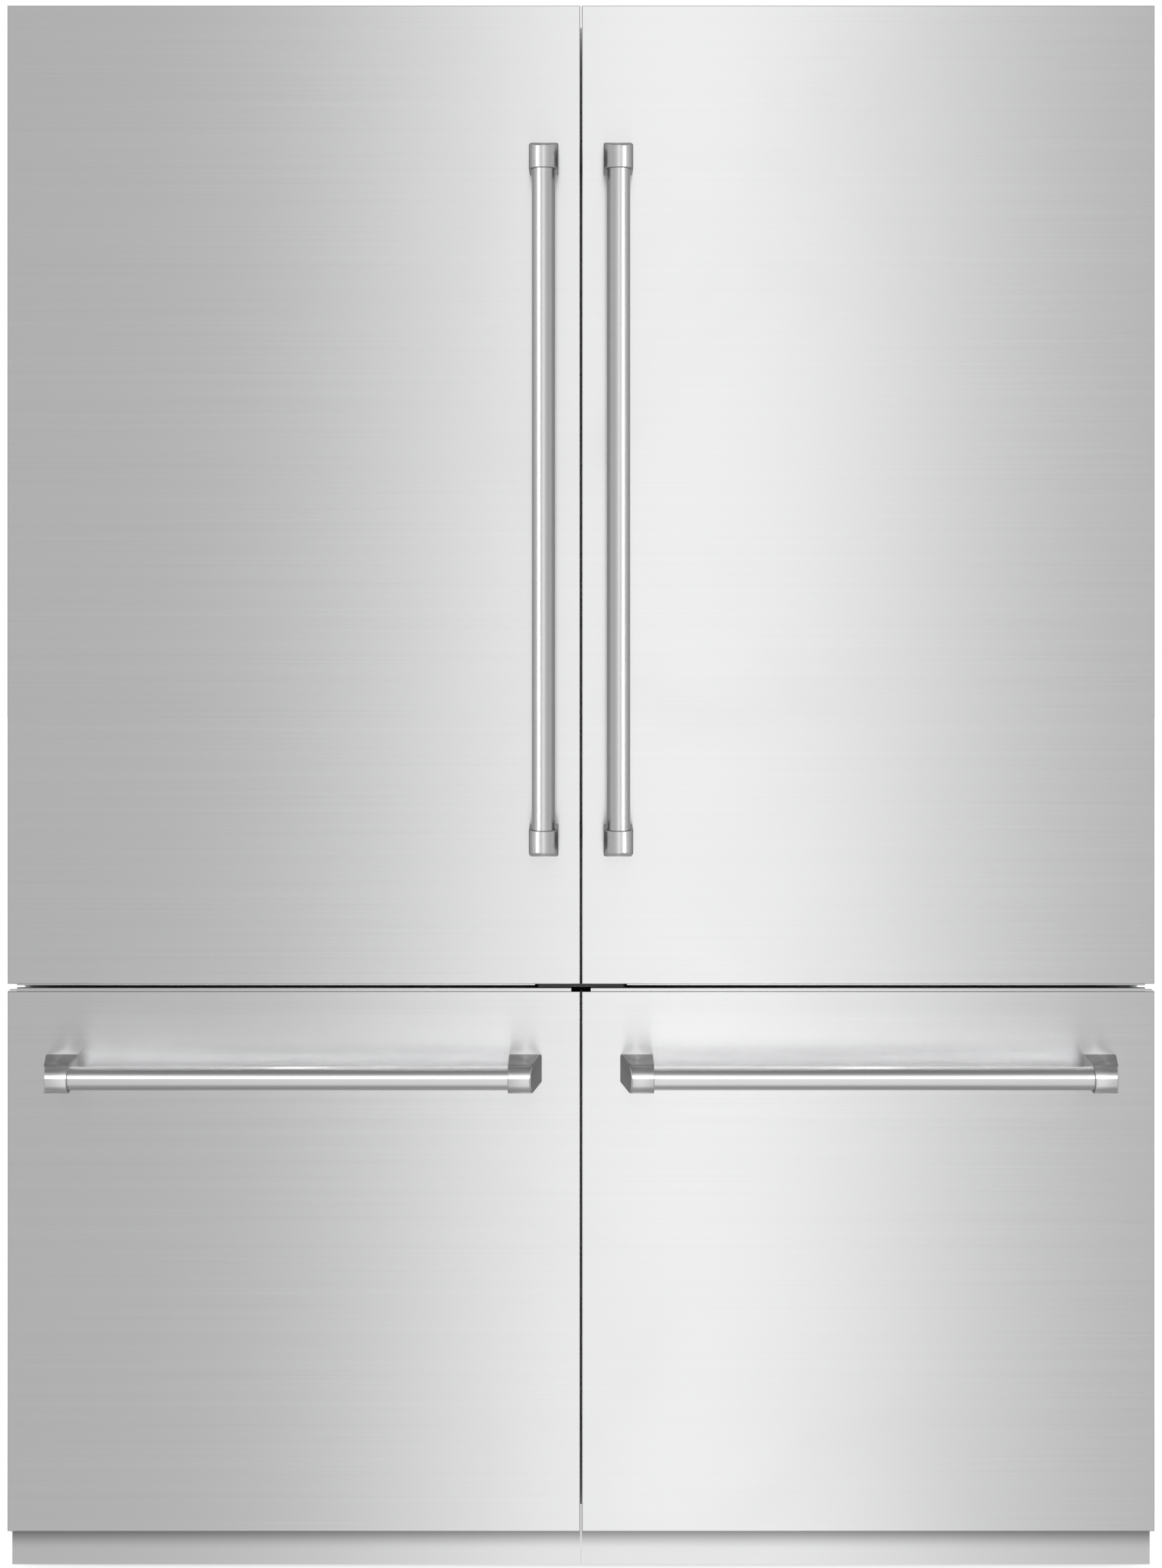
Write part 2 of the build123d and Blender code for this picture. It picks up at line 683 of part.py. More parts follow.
def kick_plate(side):
    """The plate below the drawer, on two tabs from the base frame."""
    front = PANEL_FRONT + KICK_RECESS
    top = DRAWER_CORE[0] - KICK_TOP_CLEAR
    ends = across(side, COLUMN_IN, COLUMN_OUT - KICK_END_CLEAR)
    plate = block(ends, (front, front + SHEET), (KICK_CLEAR, top))
    plate += block(ends, (front, front + KICK_LIP), (top - SHEET, top))
    for x in support_places(side):
        tab_z = (BASE_CLEAR + KICK_TAB_MARGIN, CASE_BOTTOM - KICK_TAB_MARGIN)
        plate += block((x - KICK_TAB_HALF, x + KICK_TAB_HALF), (front, CASE_FRONT), tab_z)
    return plate


# ---- hinges, fixing brackets and their screws ----
STRAP_Y = (CASE_BACK - STRAP_REAR_INSETS[0], CASE_BACK - STRAP_REAR_INSETS[1])
FIX_Y = (CASE_FRONT + FIX_SETBACKS[0], CASE_FRONT + FIX_SETBACKS[1])


def hinge_screws(side):
    return [(side * (PIVOT_X - shift), CASE_FRONT + back) for shift, back in TOP_SCREW_SPOTS]


def strap_screws(side):
    middle_y = sum(STRAP_Y) / 2
    x = side * (STRAP_HALF - STRAP_SCREW_MARGIN)
    return [(x, middle_y - STRAP_SCREW_HALF), (x, middle_y + STRAP_SCREW_HALF)]


def fixing_screws(side):
    middle = side * (COLUMN_IN + CASE_OUT) / 2
    y = FIX_Y[1] - FIX_SCREW_MARGIN
    return [(middle - FIX_SCREW_HALF, y), (middle + FIX_SCREW_HALF, y)]


def top_screw_places(side):
    return hinge_screws(side) + strap_screws(side) + fixing_screws(side)


def eye_plate(side, low, plate_y, plate_u):
    """A flat hinge plate that narrows to an eye around the pivot."""
    low_y, high_y = plate_y
    eye = Pos(side * PIVOT_X, PIVOT_Y) * Circle(HINGE_EYE)
    middle = side * (PIVOT_X + plate_u[0] + PIVOT_X + plate_u[1]) / 2
    foot = Pos(middle, (low_y + high_y) / 2) * Rectangle(plate_u[1] - plate_u[0], high_y - low_y)
    outline = make_hull(eye.edges() + foot.edges())
    return Pos(0, 0, low) * extrude(outline, HINGE_PLATE)


def top_hinge(side):
    """Screwed on the case top, with a pin down into the door."""
    plate_y = (CASE_FRONT + TOP_PLATE_SETBACK[0], CASE_FRONT + TOP_PLATE_SETBACK[1])
    plate = eye_plate(side, CASE_TOP, plate_y, TOP_PLATE_U)
    for x, y in hinge_screws(side):
        plate -= round_bar((x, y, CASE_TOP - 1), SCREW_HOLE, HINGE_PLATE + 2, "Z")
    pin_low = DOOR_CORE[1] - PIN_LENGTH + 1
    pin = round_bar((side * PIVOT_X, PIVOT_Y, pin_low), PIN_RADIUS, CASE_TOP - pin_low + 1, "Z")
    return plate + pin


MIDDLE_PLATE = (DRAWER_TOP + MIDDLE_PLATE_RISE, DRAWER_TOP + MIDDLE_PLATE_RISE + HINGE_PLATE)
MIDDLE_PLATE_X = PIVOT_X + sum(MIDDLE_PLATE_U) / 2


def middle_hinge(side):
    """Fixed to the front frame in the gap between the fronts, with a pin up into the door."""
    low, high = MIDDLE_PLATE
    plate = eye_plate(side, low, (CASE_FRONT - MIDDLE_PLATE_DEPTH, CASE_FRONT), MIDDLE_PLATE_U)
    back_x = across(side, MIDDLE_PLATE_X - MIDDLE_BACK_HALF, MIDDLE_PLATE_X + MIDDLE_BACK_HALF)
    back_y = (CASE_FRONT - MIDDLE_BACK_THICK, CASE_FRONT)
    plate += block(back_x, back_y, (low - MIDDLE_BACK_DROP, high + MIDDLE_BACK_RISE))
    pin_top = DOOR_CORE[0] + PIN_LENGTH - HINGE_PLATE - 1
    pin = round_bar((side * PIVOT_X, PIVOT_Y, low + 1), PIN_RADIUS, pin_top - low - 1, "Z")
    for x, z in middle_screws(side):
        hole_start = CASE_FRONT - MIDDLE_BACK_THICK - 1
        plate -= round_bar((x, hole_start, z), SCREW_HOLE, MIDDLE_BACK_THICK + 2, "Y")
    return plate + pin


def middle_screws(side):
    height = MIDDLE_PLATE[0] - MIDDLE_BACK_DROP / 2
    return [(side * (MIDDLE_PLATE_X + shift), height) for shift in MIDDLE_SCREW_SHIFTS]


def centre_bracket():
    """The black piece in the middle of the gap that holds the two columns in line."""
    low = DOOR_BOTTOM - CENTRE_DROP
    high = low + CENTRE_THICK
    wide = (-CENTRE_HALF, CENTRE_HALF)
    shelf = block(wide, (PANEL_FRONT + CENTRE_SETBACK, CASE_FRONT), (low, high))
    shelf = fillet(upright_edges(shelf).group_by(Axis.Y)[0], CENTRE_CORNER)
    lug = block(wide, (CASE_FRONT - CENTRE_LUG_THICK, CASE_FRONT), (low - CENTRE_LUG, high))
    return shelf + lug


def top_strap():
    """Joins the two case tops at the rear."""
    strap = block((-STRAP_HALF, STRAP_HALF), STRAP_Y, (CASE_TOP, CASE_TOP + STRAP_THICK))
    strap = fillet(upright_edges(strap), STRAP_CORNER)
    for side in SIDES.values():
        for x, y in strap_screws(side):
            strap -= round_bar((x, y, CASE_TOP - 1), SCREW_HOLE, STRAP_THICK + 2, "Z")
    return strap


def top_fixing(side):
    """A stepped bracket whose raised leg screws up into the joinery above."""
    middle = side * (COLUMN_IN + CASE_OUT) / 2
    wide = (middle - FIX_HALF, middle + FIX_HALF)
    rise = HEIGHT - CASE_TOP - FIX_TOP_CLEAR
    fold = FIX_Y[1] - FIX_FOOT
    foot = block(wide, (fold, FIX_Y[1]), (CASE_TOP, CASE_TOP + STRAP_THICK))
    web = block(wide, (fold - STRAP_THICK, fold), (CASE_TOP, CASE_TOP + rise))
    leg = block(wide, (FIX_Y[0], fold), (CASE_TOP + rise - STRAP_THICK, CASE_TOP + rise))
    bracket = foot + web + leg
    for x, y in fixing_screws(side):
        bracket -= round_bar((x, y, CASE_TOP - 1), SCREW_HOLE, STRAP_THICK + 2, "Z")
    for sign in (-1, 1):
        x = middle + sign * FIX_HOLE_SPACING / 2
        bracket -= round_bar((x, FIX_Y[0] + FIX_HOLE_SETBACK, CASE_TOP), SCREW_HOLE, rise + 2, "Z")
    return bracket


def screw_down(x, y, seat, grip):
    shank = round_bar((x, y, seat - grip), SCREW_RADIUS, grip, "Z")
    head = round_bar((x, y, seat), SCREW_HEAD, SCREW_HEAD_HEIGHT, "Z")
    return shank + fillet(head.faces().sort_by(Axis.Z)[-1].edges(), SCREW_HEAD_EDGE)


def screws(side):
    placed = []
    for x, y in hinge_screws(side):
        placed.append(screw_down(x, y, CASE_TOP + HINGE_PLATE, HINGE_PLATE + SHEET))
    for x, y in strap_screws(side) + fixing_screws(side):
        placed.append(screw_down(x, y, CASE_TOP + STRAP_THICK, STRAP_THICK + SHEET))
    for x, z in middle_screws(side):
        seat = CASE_FRONT - MIDDLE_BACK_THICK
        shank = round_bar((x, seat, z), SCREW_RADIUS, MIDDLE_BACK_THICK, "Y")
        head = round_bar((x, seat - MIDDLE_HEAD, z), SCREW_HEAD, MIDDLE_HEAD, "Y")
        placed.append(shank + head)
    return placed


# ---- fresh-food interior ----
SHELF_U = (CAVITY_IN + SHELF_SIDE_CLEAR, CAVITY_OUT - SHELF_SIDE_CLEAR)
SHELF_Y = (CORE_BACK + BIN_DEPTH + SHELF_FRONT_CLEAR, CAVITY_BACK - SHELF_REAR_CLEAR)
TRACK_U = (CAVITY_IN + TRACK_INSET, CAVITY_OUT - TRACK_INSET)
TRACK_Z = (FRIDGE[0] + TRACK_LOW, FRIDGE[1] - TRACK_HIGH)


def shelf_heights():
    return evenly(FRIDGE[0] + LOWEST_SHELF_RISE, FRIDGE[1] - TOP_SHELF_DROP, SHELF_COUNT)


def glass_plate(side, height):
    inset = SHELF_EDGE - GLASS_SEAT
    low = height + (SHELF_THICK - GLASS_THICK) / 2
    return block(
        across(side, SHELF_U[0] + inset, SHELF_U[1] - inset),
        (SHELF_Y[0] + inset, SHELF_Y[1] - inset),
        (low, low + GLASS_THICK),
    )


def shelf_frame(side, height):
    """A moulded rim around the glass, with the glass let into a groove."""
    rim = block(across(side, *SHELF_U), SHELF_Y, (height, height + SHELF_THICK))
    rim = fillet(upright_edges(rim), SHELF_CORNER)
    rim -= block(
        across(side, SHELF_U[0] + SHELF_EDGE, SHELF_U[1] - SHELF_EDGE),
        (SHELF_Y[0] + SHELF_EDGE, SHELF_Y[1] - SHELF_EDGE),
        (height - 1, height + SHELF_THICK + 1),
    )
    return rim - glass_plate(side, height)


def shelf_arm(side, u, height):
    """A cantilever arm that hooks on the rear track."""
    back = CAVITY_BACK - TRACK_THICK
    tip = SHELF_Y[0] + ARM_FRONT_CLEAR
    corners = [(back, height - ARM_DEPTH), (back, height), (tip, height), (tip, height - ARM_TIP)]
    outline = Polyline(*corners, close=True)
    profile = make_face(Plane.YZ * outline)
    return Pos(side * u - ARM_THICK / 2, 0, 0) * extrude(profile, ARM_THICK, dir=(1, 0, 0))


def shelf_supports(side):
    """Rear tracks with arms for the upper shelves, and wall ledges for the lowest one."""
    pieces = []
    for u in TRACK_U:
        pieces.append(
            block(
                across(side, u - TRACK_WIDTH / 2, u + TRACK_WIDTH / 2),
                (CAVITY_BACK - TRACK_THICK, CAVITY_BACK),
                TRACK_Z,
            )
        )
        pieces.extend(shelf_arm(side, u, height) for height in shelf_heights()[1:])
    lowest = shelf_heights()[0]
    for wall_u, inward in ((CAVITY_IN, 1), (CAVITY_OUT, -1)):
        ledge_u = across(side, wall_u, wall_u + inward * LEDGE_REACH)
        pieces.append(block(ledge_u, SHELF_Y, (lowest - LEDGE_REACH / 2, lowest)))
    return pieces


def crisper_low(level):
    return FRIDGE[0] + CRISPER_FLOOR_CLEAR + level * (CRISPER_HEIGHT + CRISPER_GAP)


def crispers(side):
    """Two clear produce drawers, one above the other, below the lowest shelf."""
    drawers = []
    front = SHELF_Y[0] + CRISPER_FRONT_SETBACK
    for level in range(CRISPER_COUNT):
        low = crisper_low(level)
        high = low + CRISPER_HEIGHT
        body = tub(
            across(side, SHELF_U[0] + CRISPER_SIDE_CLEAR, SHELF_U[1] - CRISPER_SIDE_CLEAR),
            (front, SHELF_Y[1] - CRISPER_REAR_SETBACK),
            (low, high),
            CRISPER_WALL,
            CRISPER_CORNER,
        )
        grip = block(
            across(side, SHELF_U[0] + GRIP_END_INSET, SHELF_U[1] - GRIP_END_INSET),
            (front - 2 * GRIP_HALF, front),
            (high - GRIP_HEIGHT, high),
        )
        drawers.append(body + grip)
    return drawers


def interior_lights(side):
    """Upright light strips on both side walls, ahead of the shelves."""
    strips = []
    strip_y = (CASE_FRONT + LIGHT_SETBACKS[0], CASE_FRONT + LIGHT_SETBACKS[1])
    strip_z = (FRIDGE[0] + LIGHT_END_CLEAR, FRIDGE[1] - LIGHT_END_CLEAR)
    for u, sign in ((CAVITY_IN, 1), (CAVITY_OUT, -1)):
        strips.append(block(across(side, u, u + sign * LIGHT_THICK), strip_y, strip_z))
    return strips


def control_panel(side):
    """The touch panel under the compartment's ceiling."""
    panel = block(
        across(side, MIDDLE_U - CONTROL_HALF, MIDDLE_U + CONTROL_HALF),
        (SHELF_Y[0] + CONTROL_SETBACKS[0], SHELF_Y[0] + CONTROL_SETBACKS[1]),
        (FRIDGE[1] - CONTROL_THICK, FRIDGE[1]),
    )
    return fillet(upright_edges(panel), CONTROL_CORNER)


# ---- freezer interior: slides, basket, tray ----
SLIDE_LOW = STEP_TOP + SLIDE_RISE
SLIDE_Y = (CASE_FRONT + SLIDE_FRONT_GAP, COVER_Y[0] - SLIDE_REAR_GAP)


def slide_member(side, wall_u, inward, order):
    """One C-shaped member. Members nest by their order: 0 cabinet, 1 middle, 2 drawer."""
    step = (SLIDE_PLATE + SLIDE_CLEAR) * order
    depth = 3 * (SLIDE_PLATE + SLIDE_CLEAR)
    near = wall_u + inward * step
    far = wall_u + inward * depth
    low = SLIDE_LOW + step
    high = SLIDE_LOW + SLIDE_HEIGHT - step
    channel = block(across(side, near, far), SLIDE_Y, (low, high))
    channel -= block(
        across(side, near + inward * SLIDE_PLATE, far + inward),
        (SLIDE_Y[0] - 1, SLIDE_Y[1] + 1),
        (low + SLIDE_PLATE, high - SLIDE_PLATE),
    )
    return channel


def slide_pair(side, order):
    return [
        slide_member(side, CAVITY_IN, 1, order),
        slide_member(side, CAVITY_OUT, -1, order),
    ]


LEDGE_IN = CAVITY_IN + 3 * (SLIDE_PLATE + SLIDE_CLEAR)
LEDGE_OUT = CAVITY_OUT - 3 * (SLIDE_PLATE + SLIDE_CLEAR)
LEDGE_TOP = SLIDE_LOW + SLIDE_HEIGHT / 2 + LEDGE_RISE


def drawer_slides(side):
    """The inner members, each with a ledge for the basket and a tab to the drawer front."""
    pieces = []
    for wall_u, start, inward in ((CAVITY_IN, LEDGE_IN, 1), (CAVITY_OUT, LEDGE_OUT, -1)):
        member = slide_member(side, wall_u, inward, 2)
        web_start = wall_u + inward * (2 * (SLIDE_PLATE + SLIDE_CLEAR))
        ledge_x = across(side, web_start, start + inward * LEDGE_WIDTH)
        member += block(ledge_x, SLIDE_Y, (LEDGE_TOP - SLIDE_PLATE, LEDGE_TOP))
        member += block(
            across(side, start, start + inward * SLIDE_PLATE),
            (CORE_BACK, SLIDE_Y[0] + TAB_REACH),
            (SLIDE_LOW - TAB_MARGIN, SLIDE_LOW + SLIDE_HEIGHT + TAB_MARGIN),
        )
        pieces.append(member)
    return pieces


BASKET_U = (LEDGE_IN + LEDGE_WIDTH + BASKET_SIDE_CLEAR, LEDGE_OUT - LEDGE_WIDTH - BASKET_SIDE_CLEAR)
BASKET_Y = (CASE_FRONT + BASKET_FRONT_GAP, STEP_FRONT - BASKET_STEP_GAP)
BASKET_LOW = FREEZER[0] + BASKET_FLOOR_RISE
BASKET_RIM = LEDGE_TOP + SLIDE_PLATE


def drawer_basket(side):
    """A deep basket that hangs by its rim from the ledges."""
    basket = tub(across(side, *BASKET_U), BASKET_Y, (BASKET_LOW, BASKET_RIM), BASKET_WALL, TUB_CORNER)
    flange_y = (BASKET_Y[0] + BASKET_RIM_INSET, BASKET_Y[1] - BASKET_RIM_INSET)
    edge = SLIDE_PLATE + BASKET_SIDE_CLEAR
    for near, far in ((LEDGE_IN + edge, BASKET_U[0] + 1), (BASKET_U[1] - 1, LEDGE_OUT - edge)):
        basket += block(across(side, near, far), flange_y, (LEDGE_TOP, BASKET_RIM))
    return basket


TRAY_Y = (CASE_FRONT + TRAY_FRONT_GAP, COVER_Y[0] - TRAY_REAR_GAP - TRAY_TRAVEL)
TRAY_LOW = BASKET_RIM + MOVING_CLEAR


def drawer_tray(side):
    """A shallower tray that slides back over the basket."""
    edge = SLIDE_PLATE + TRAY_SIDE_CLEAR
    tray_x = across(side, LEDGE_IN + edge, LEDGE_OUT - edge)
    return tub(tray_x, TRAY_Y, (TRAY_LOW, TRAY_LOW + TRAY_HEIGHT), BASKET_WALL, TUB_CORNER)


# ---- refrigeration machinery ----
def fan(radius, hub_radius, bore_radius):
    """An axial fan about +Z, centred, with its bore right through."""
    hub = Cylinder(hub_radius, FAN_THICK)
    wheel = hub
    for index in range(FAN_BLADES):
        blade = Box(radius - hub_radius + FAN_BLADE_ROOT, FAN_BLADE_CHORD, FAN_BLADE_THICK)
        reach = (radius + hub_radius - FAN_BLADE_ROOT) / 2
        wheel += Rot(0, 0, index * 360 / FAN_BLADES) * Pos(reach, 0, 0) * Rot(FAN_BLADE_PITCH, 0, 0) * blade
    rim = Cylinder(radius, FAN_THICK * 2)
    return (wheel & rim) - Cylinder(bore_radius, FAN_THICK * 2)


EVAP_FAN_Z = FREEZER[1] - EVAP_FAN_RADIUS - EVAP_FAN_DROP
EVAP_FAN_Y = CAVITY_BACK - EVAP_FAN_SETBACK
EVAP_Y = (CAVITY_BACK - EVAP_DEPTHS[0], CAVITY_BACK - EVAP_DEPTHS[1])
EVAP_Z = (STEP_TOP + EVAP_RISE, EVAP_FAN_Z - EVAP_FAN_RADIUS - EVAP_BELOW_FAN)


def finned_coil(side, u_pair, y_pair, z_pair, fins, slotted):
    """A block cut into fins on one face: slotted says whether the -Y (0) or the +Y (1) face."""
    coil = block(across(side, *u_pair), y_pair, z_pair)
    outward = 1 if slotted else -1
    face = y_pair[slotted]
    slot_y = (face + outward, face - outward * FIN_SLOT_DEPTH)
    slot_z = (z_pair[0] + FIN_FRAME, z_pair[1] - FIN_FRAME)
    for u in evenly(u_pair[0] + FIN_END, u_pair[1] - FIN_END, fins):
        coil -= block(across(side, u - FIN_SLOT_HALF, u + FIN_SLOT_HALF), slot_y, slot_z)
    return coil


def evaporator_unit(side):
    """Finned coil, with the fan's motor above it on a bracket."""
    wide = (CAVITY_IN + EVAP_SIDE_CLEAR, CAVITY_OUT - EVAP_SIDE_CLEAR)
    coil = finned_coil(side, wide, EVAP_Y, EVAP_Z, EVAP_FINS, 0)
    motor_front = EVAP_FAN_Y + FAN_THICK / 2 + MOTOR_GAP
    centre = side * MIDDLE_U
    motor = round_bar((centre, motor_front, EVAP_FAN_Z), EVAP_MOTOR_RADIUS, CAVITY_BACK - motor_front, "Y")
    shaft_length = FAN_THICK + 3 * MOTOR_GAP
    shaft = round_bar((centre, EVAP_FAN_Y - FAN_THICK / 2, EVAP_FAN_Z), SHAFT_RADIUS, shaft_length, "Y")
    return [coil, motor + shaft]


def fan_on_y(x, y, z, radius, hub_radius):
    return Pos(x, y, z) * Rot(-90, 0, 0) * fan(radius, hub_radius, SHAFT_RADIUS + RUNNING_CLEAR)


def evaporator_fan(side):
    return fan_on_y(side * MIDDLE_U, EVAP_FAN_Y, EVAP_FAN_Z, EVAP_FAN_RADIUS, FAN_HUB_RADIUS)


def air_covers(side):
    """The freezer's rear air cover, and the fresh-food compartment's air duct."""
    cover_x = across(side, CAVITY_IN + COVER_EDGE_CLEAR, CAVITY_OUT - COVER_EDGE_CLEAR)
    cover = block(cover_x, COVER_Y, (STEP_TOP + COVER_EDGE_CLEAR, FREEZER[1] - COVER_EDGE_CLEAR))
    grille_x = across(side, MIDDLE_U - GRILLE_HALF, MIDDLE_U + GRILLE_HALF)
    for height in evenly(EVAP_FAN_Z - GRILLE_SPAN / 2, EVAP_FAN_Z + GRILLE_SPAN / 2, GRILLE_SLOTS):
        slot_z = (height - VENT_HEIGHT / 2, height + VENT_HEIGHT / 2)
        cover -= block(grille_x, (COVER_Y[0] - 1, COVER_Y[1] + 1), slot_z)
    duct_x = across(side, MIDDLE_U - DUCT_HALF, MIDDLE_U + DUCT_HALF)
    duct = block(duct_x, (CAVITY_BACK - DUCT_THICK, CAVITY_BACK), TRACK_Z)
    for height in shelf_heights():
        vent_z = (height + DUCT_VENT_RISE, height + DUCT_VENT_RISE + DUCT_VENT_HEIGHT)
        for middle in (MIDDLE_U - DUCT_VENT_SHIFT, MIDDLE_U + DUCT_VENT_SHIFT):
            vent_x = across(side, middle - DUCT_VENT_HALF, middle + DUCT_VENT_HALF)
            duct -= block(vent_x, (CAVITY_BACK - DUCT_THICK - 1, CAVITY_BACK - DUCT_THICK / 2), vent_z)
    return [cover, duct]


MACHINE_Y = MACHINE_FRONT + MACHINE_CENTRE
COMPRESSOR_U = CASE_OUT - COMPRESSOR_INSET
CONDENSER_U = (COLUMN_IN + CONDENSER_INSET, COLUMN_IN + CONDENSER_INSET + CONDENSER_WIDTH)
CONDENSER_FAN_U = CONDENSER_U[1] + CONDENSER_FAN_GAP
CONDENSER_FAN_Z = CASE_BOTTOM + CONDENSER_FAN_RISE


def compressor(side):
    """A hermetic shell on a foot plate, with its three pipe stubs."""
    x = side * COMPRESSOR_U
    seat = CASE_BOTTOM + COMPRESSOR_LIFT
    half_x, half_y = COMPRESSOR_FOOT
    shell = round_bar((x, MACHINE_Y, seat), COMPRESSOR_RADIUS, COMPRESSOR_HEIGHT, "Z")
    shell = fillet(shell.edges().filter_by(GeomType.CIRCLE), COMPRESSOR_ROUND)
    plate_z = (seat - COMPRESSOR_FOOT_THICK, seat)
    body = shell + block((x - half_x, x + half_x), (MACHINE_Y - half_y, MACHINE_Y + half_y), plate_z)
    for dx in (-COMPRESSOR_GROMMETS[0], COMPRESSOR_GROMMETS[0]):
        for dy in (-COMPRESSOR_GROMMETS[1], COMPRESSOR_GROMMETS[1]):
            grommet = (x + dx, MACHINE_Y + dy, CASE_BOTTOM)
            body += round_bar(grommet, GROMMET_RADIUS, plate_z[0] - CASE_BOTTOM, "Z")
    for shift in (-PIPE_SPACING, 0, PIPE_SPACING):
        start = (x - side * PIPE_REACH, MACHINE_Y + shift, CASE_BOTTOM + PIPE_RISE + shift)
        body += round_bar(start, PIPE_RADIUS, PIPE_LENGTH, "X")
    return body


def condenser_unit(side):
    """Finned coil, and the fan's motor on its own stand."""
    coil_y = (MACHINE_Y - CONDENSER_HALF, MACHINE_Y + CONDENSER_HALF)
    coil_z = (CASE_BOTTOM, CASE_BOTTOM + CONDENSER_HEIGHT)
    coil = finned_coil(side, CONDENSER_U, coil_y, coil_z, CONDENSER_FINS, 1)
    motor_u = CONDENSER_FAN_U + FAN_THICK / 2 + MOTOR_GAP
    motor_x = min(across(side, motor_u, motor_u + CONDENSER_MOTOR_LENGTH))
    motor_end = (motor_x, MACHINE_Y, CONDENSER_FAN_Z)
    motor = round_bar(motor_end, CONDENSER_MOTOR_RADIUS, CONDENSER_MOTOR_LENGTH, "X")
    shaft_low, shaft_high = sorted(across(side, CONDENSER_FAN_U - FAN_THICK / 2, motor_u + 2 * MOTOR_GAP))
    shaft = round_bar((shaft_low, MACHINE_Y, CONDENSER_FAN_Z), SHAFT_RADIUS, shaft_high - shaft_low, "X")
    stand_x = across(side, motor_u + STAND_INSET, motor_u + CONDENSER_MOTOR_LENGTH - STAND_INSET)
    stand_z = (CASE_BOTTOM, CONDENSER_FAN_Z - STAND_INSET)
    stand = block(stand_x, (MACHINE_Y - STAND_HALF, MACHINE_Y + STAND_HALF), stand_z)
    return [coil, motor + shaft + stand]


def condenser_fan(side):
    place = Pos(side * CONDENSER_FAN_U, MACHINE_Y, CONDENSER_FAN_Z) * Rot(0, 90, 0)
    return place * fan(FAN_RADIUS, FAN_HUB_RADIUS, SHAFT_RADIUS + RUNNING_CLEAR)


# ---- write every node ----
os.makedirs("parts", exist_ok=True)

for name, side in SIDES.items():
    save(f"{name}_door_panel", [front_panel(side, (DOOR_BOTTOM, DOOR_TOP))])
    save(f"{name}_door_core", [door_core(side)])
    save(f"{name}_door_gasket", [gasket(side, DOOR_CORE)])
    save(f"{name}_door_bins", door_bins(side))
    bar, brackets = door_handle(side)
    save(f"{name}_door_handle_bar", [bar])
    save(f"{name}_door_handle_brackets", brackets)
    save(f"{name}_drawer_panel", [front_panel(side, (DRAWER_BOTTOM, DRAWER_TOP))])
    save(f"{name}_drawer_core", [front_core(side, (DRAWER_BOTTOM, DRAWER_TOP), DRAWER_CORE)])
    save(f"{name}_drawer_gasket", [gasket(side, DRAWER_CORE)])
    bar, brackets = drawer_handle(side)
    save(f"{name}_drawer_handle_bar", [bar])
    save(f"{name}_drawer_handle_brackets", brackets)
    save(f"{name}_drawer_basket", [drawer_basket(side)])
    save(f"{name}_drawer_tray", [drawer_tray(side)])
    save(f"{name}_drawer_slides", drawer_slides(side))
    save(f"{name}_middle_slides", slide_pair(side, 1))
    save(f"{name}_evaporator_fan", [evaporator_fan(side)])
    save(f"{name}_condenser_fan", [condenser_fan(side)])
    save(f"{name}_rear_rollers", rear_rollers(side))

save("outer_cases", for_both(lambda side: [outer_case(side)]))
save("fixed_slides", for_both(lambda side: slide_pair(side, 0)))
save("back_panels", for_both(lambda side: [back_panel(side)]))
save("machine_covers", for_both(lambda side: [machine_cover(side)]))
save("cord_glands", for_both(lambda side: [cord_gland(side)]))
save("base_frames", for_both(lambda side: [base_frame(side)]))
save("levelling_feet", for_both(levelling_feet))
save("kick_plates", for_both(lambda side: [kick_plate(side)]))
save("insulation", for_both(lambda side: [insulation(side)]))
save("fridge_liners", for_both(lambda side: [fridge_liner(side)]))
save("freezer_liners", for_both(lambda side: [freezer_liner(side)]))
save("hinge_plates", for_both(lambda side: [top_hinge(side), middle_hinge(side)]))
save("fixing_brackets", [centre_bracket(), top_strap()] + for_both(lambda side: [top_fixing(side)]))
save("screws", for_both(screws))
save("shelf_frames", for_both(lambda side: [shelf_frame(side, z) for z in shelf_heights()]))
save("shelf_supports", for_both(shelf_supports))
save("shelf_glass", for_both(lambda side: [glass_plate(side, z) for z in shelf_heights()]))
save("crispers", for_both(crispers))
save("interior_lights", for_both(interior_lights))
save("control_panels", for_both(lambda side: [control_panel(side)]))
save("evaporator_units", for_both(evaporator_unit))
save("air_covers", for_both(air_covers))
save("compressors", for_both(lambda side: [compressor(side)]))
save("condenser_units", for_both(condenser_unit))
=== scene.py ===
# %% [markdown]
# # Two refrigerator columns, side by side
# The object is a pair of tall cabinets. Each one has a hinged door over a freezer drawer, faced with
# brushed stainless steel, and round bar handles held in cast end brackets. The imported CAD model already
# holds every piece at its true size and place. This lesson adds what the eye needs: finishes, moulded
# edges, seals and trim. Work always starts by loading that model, because each new piece takes its place
# from it.

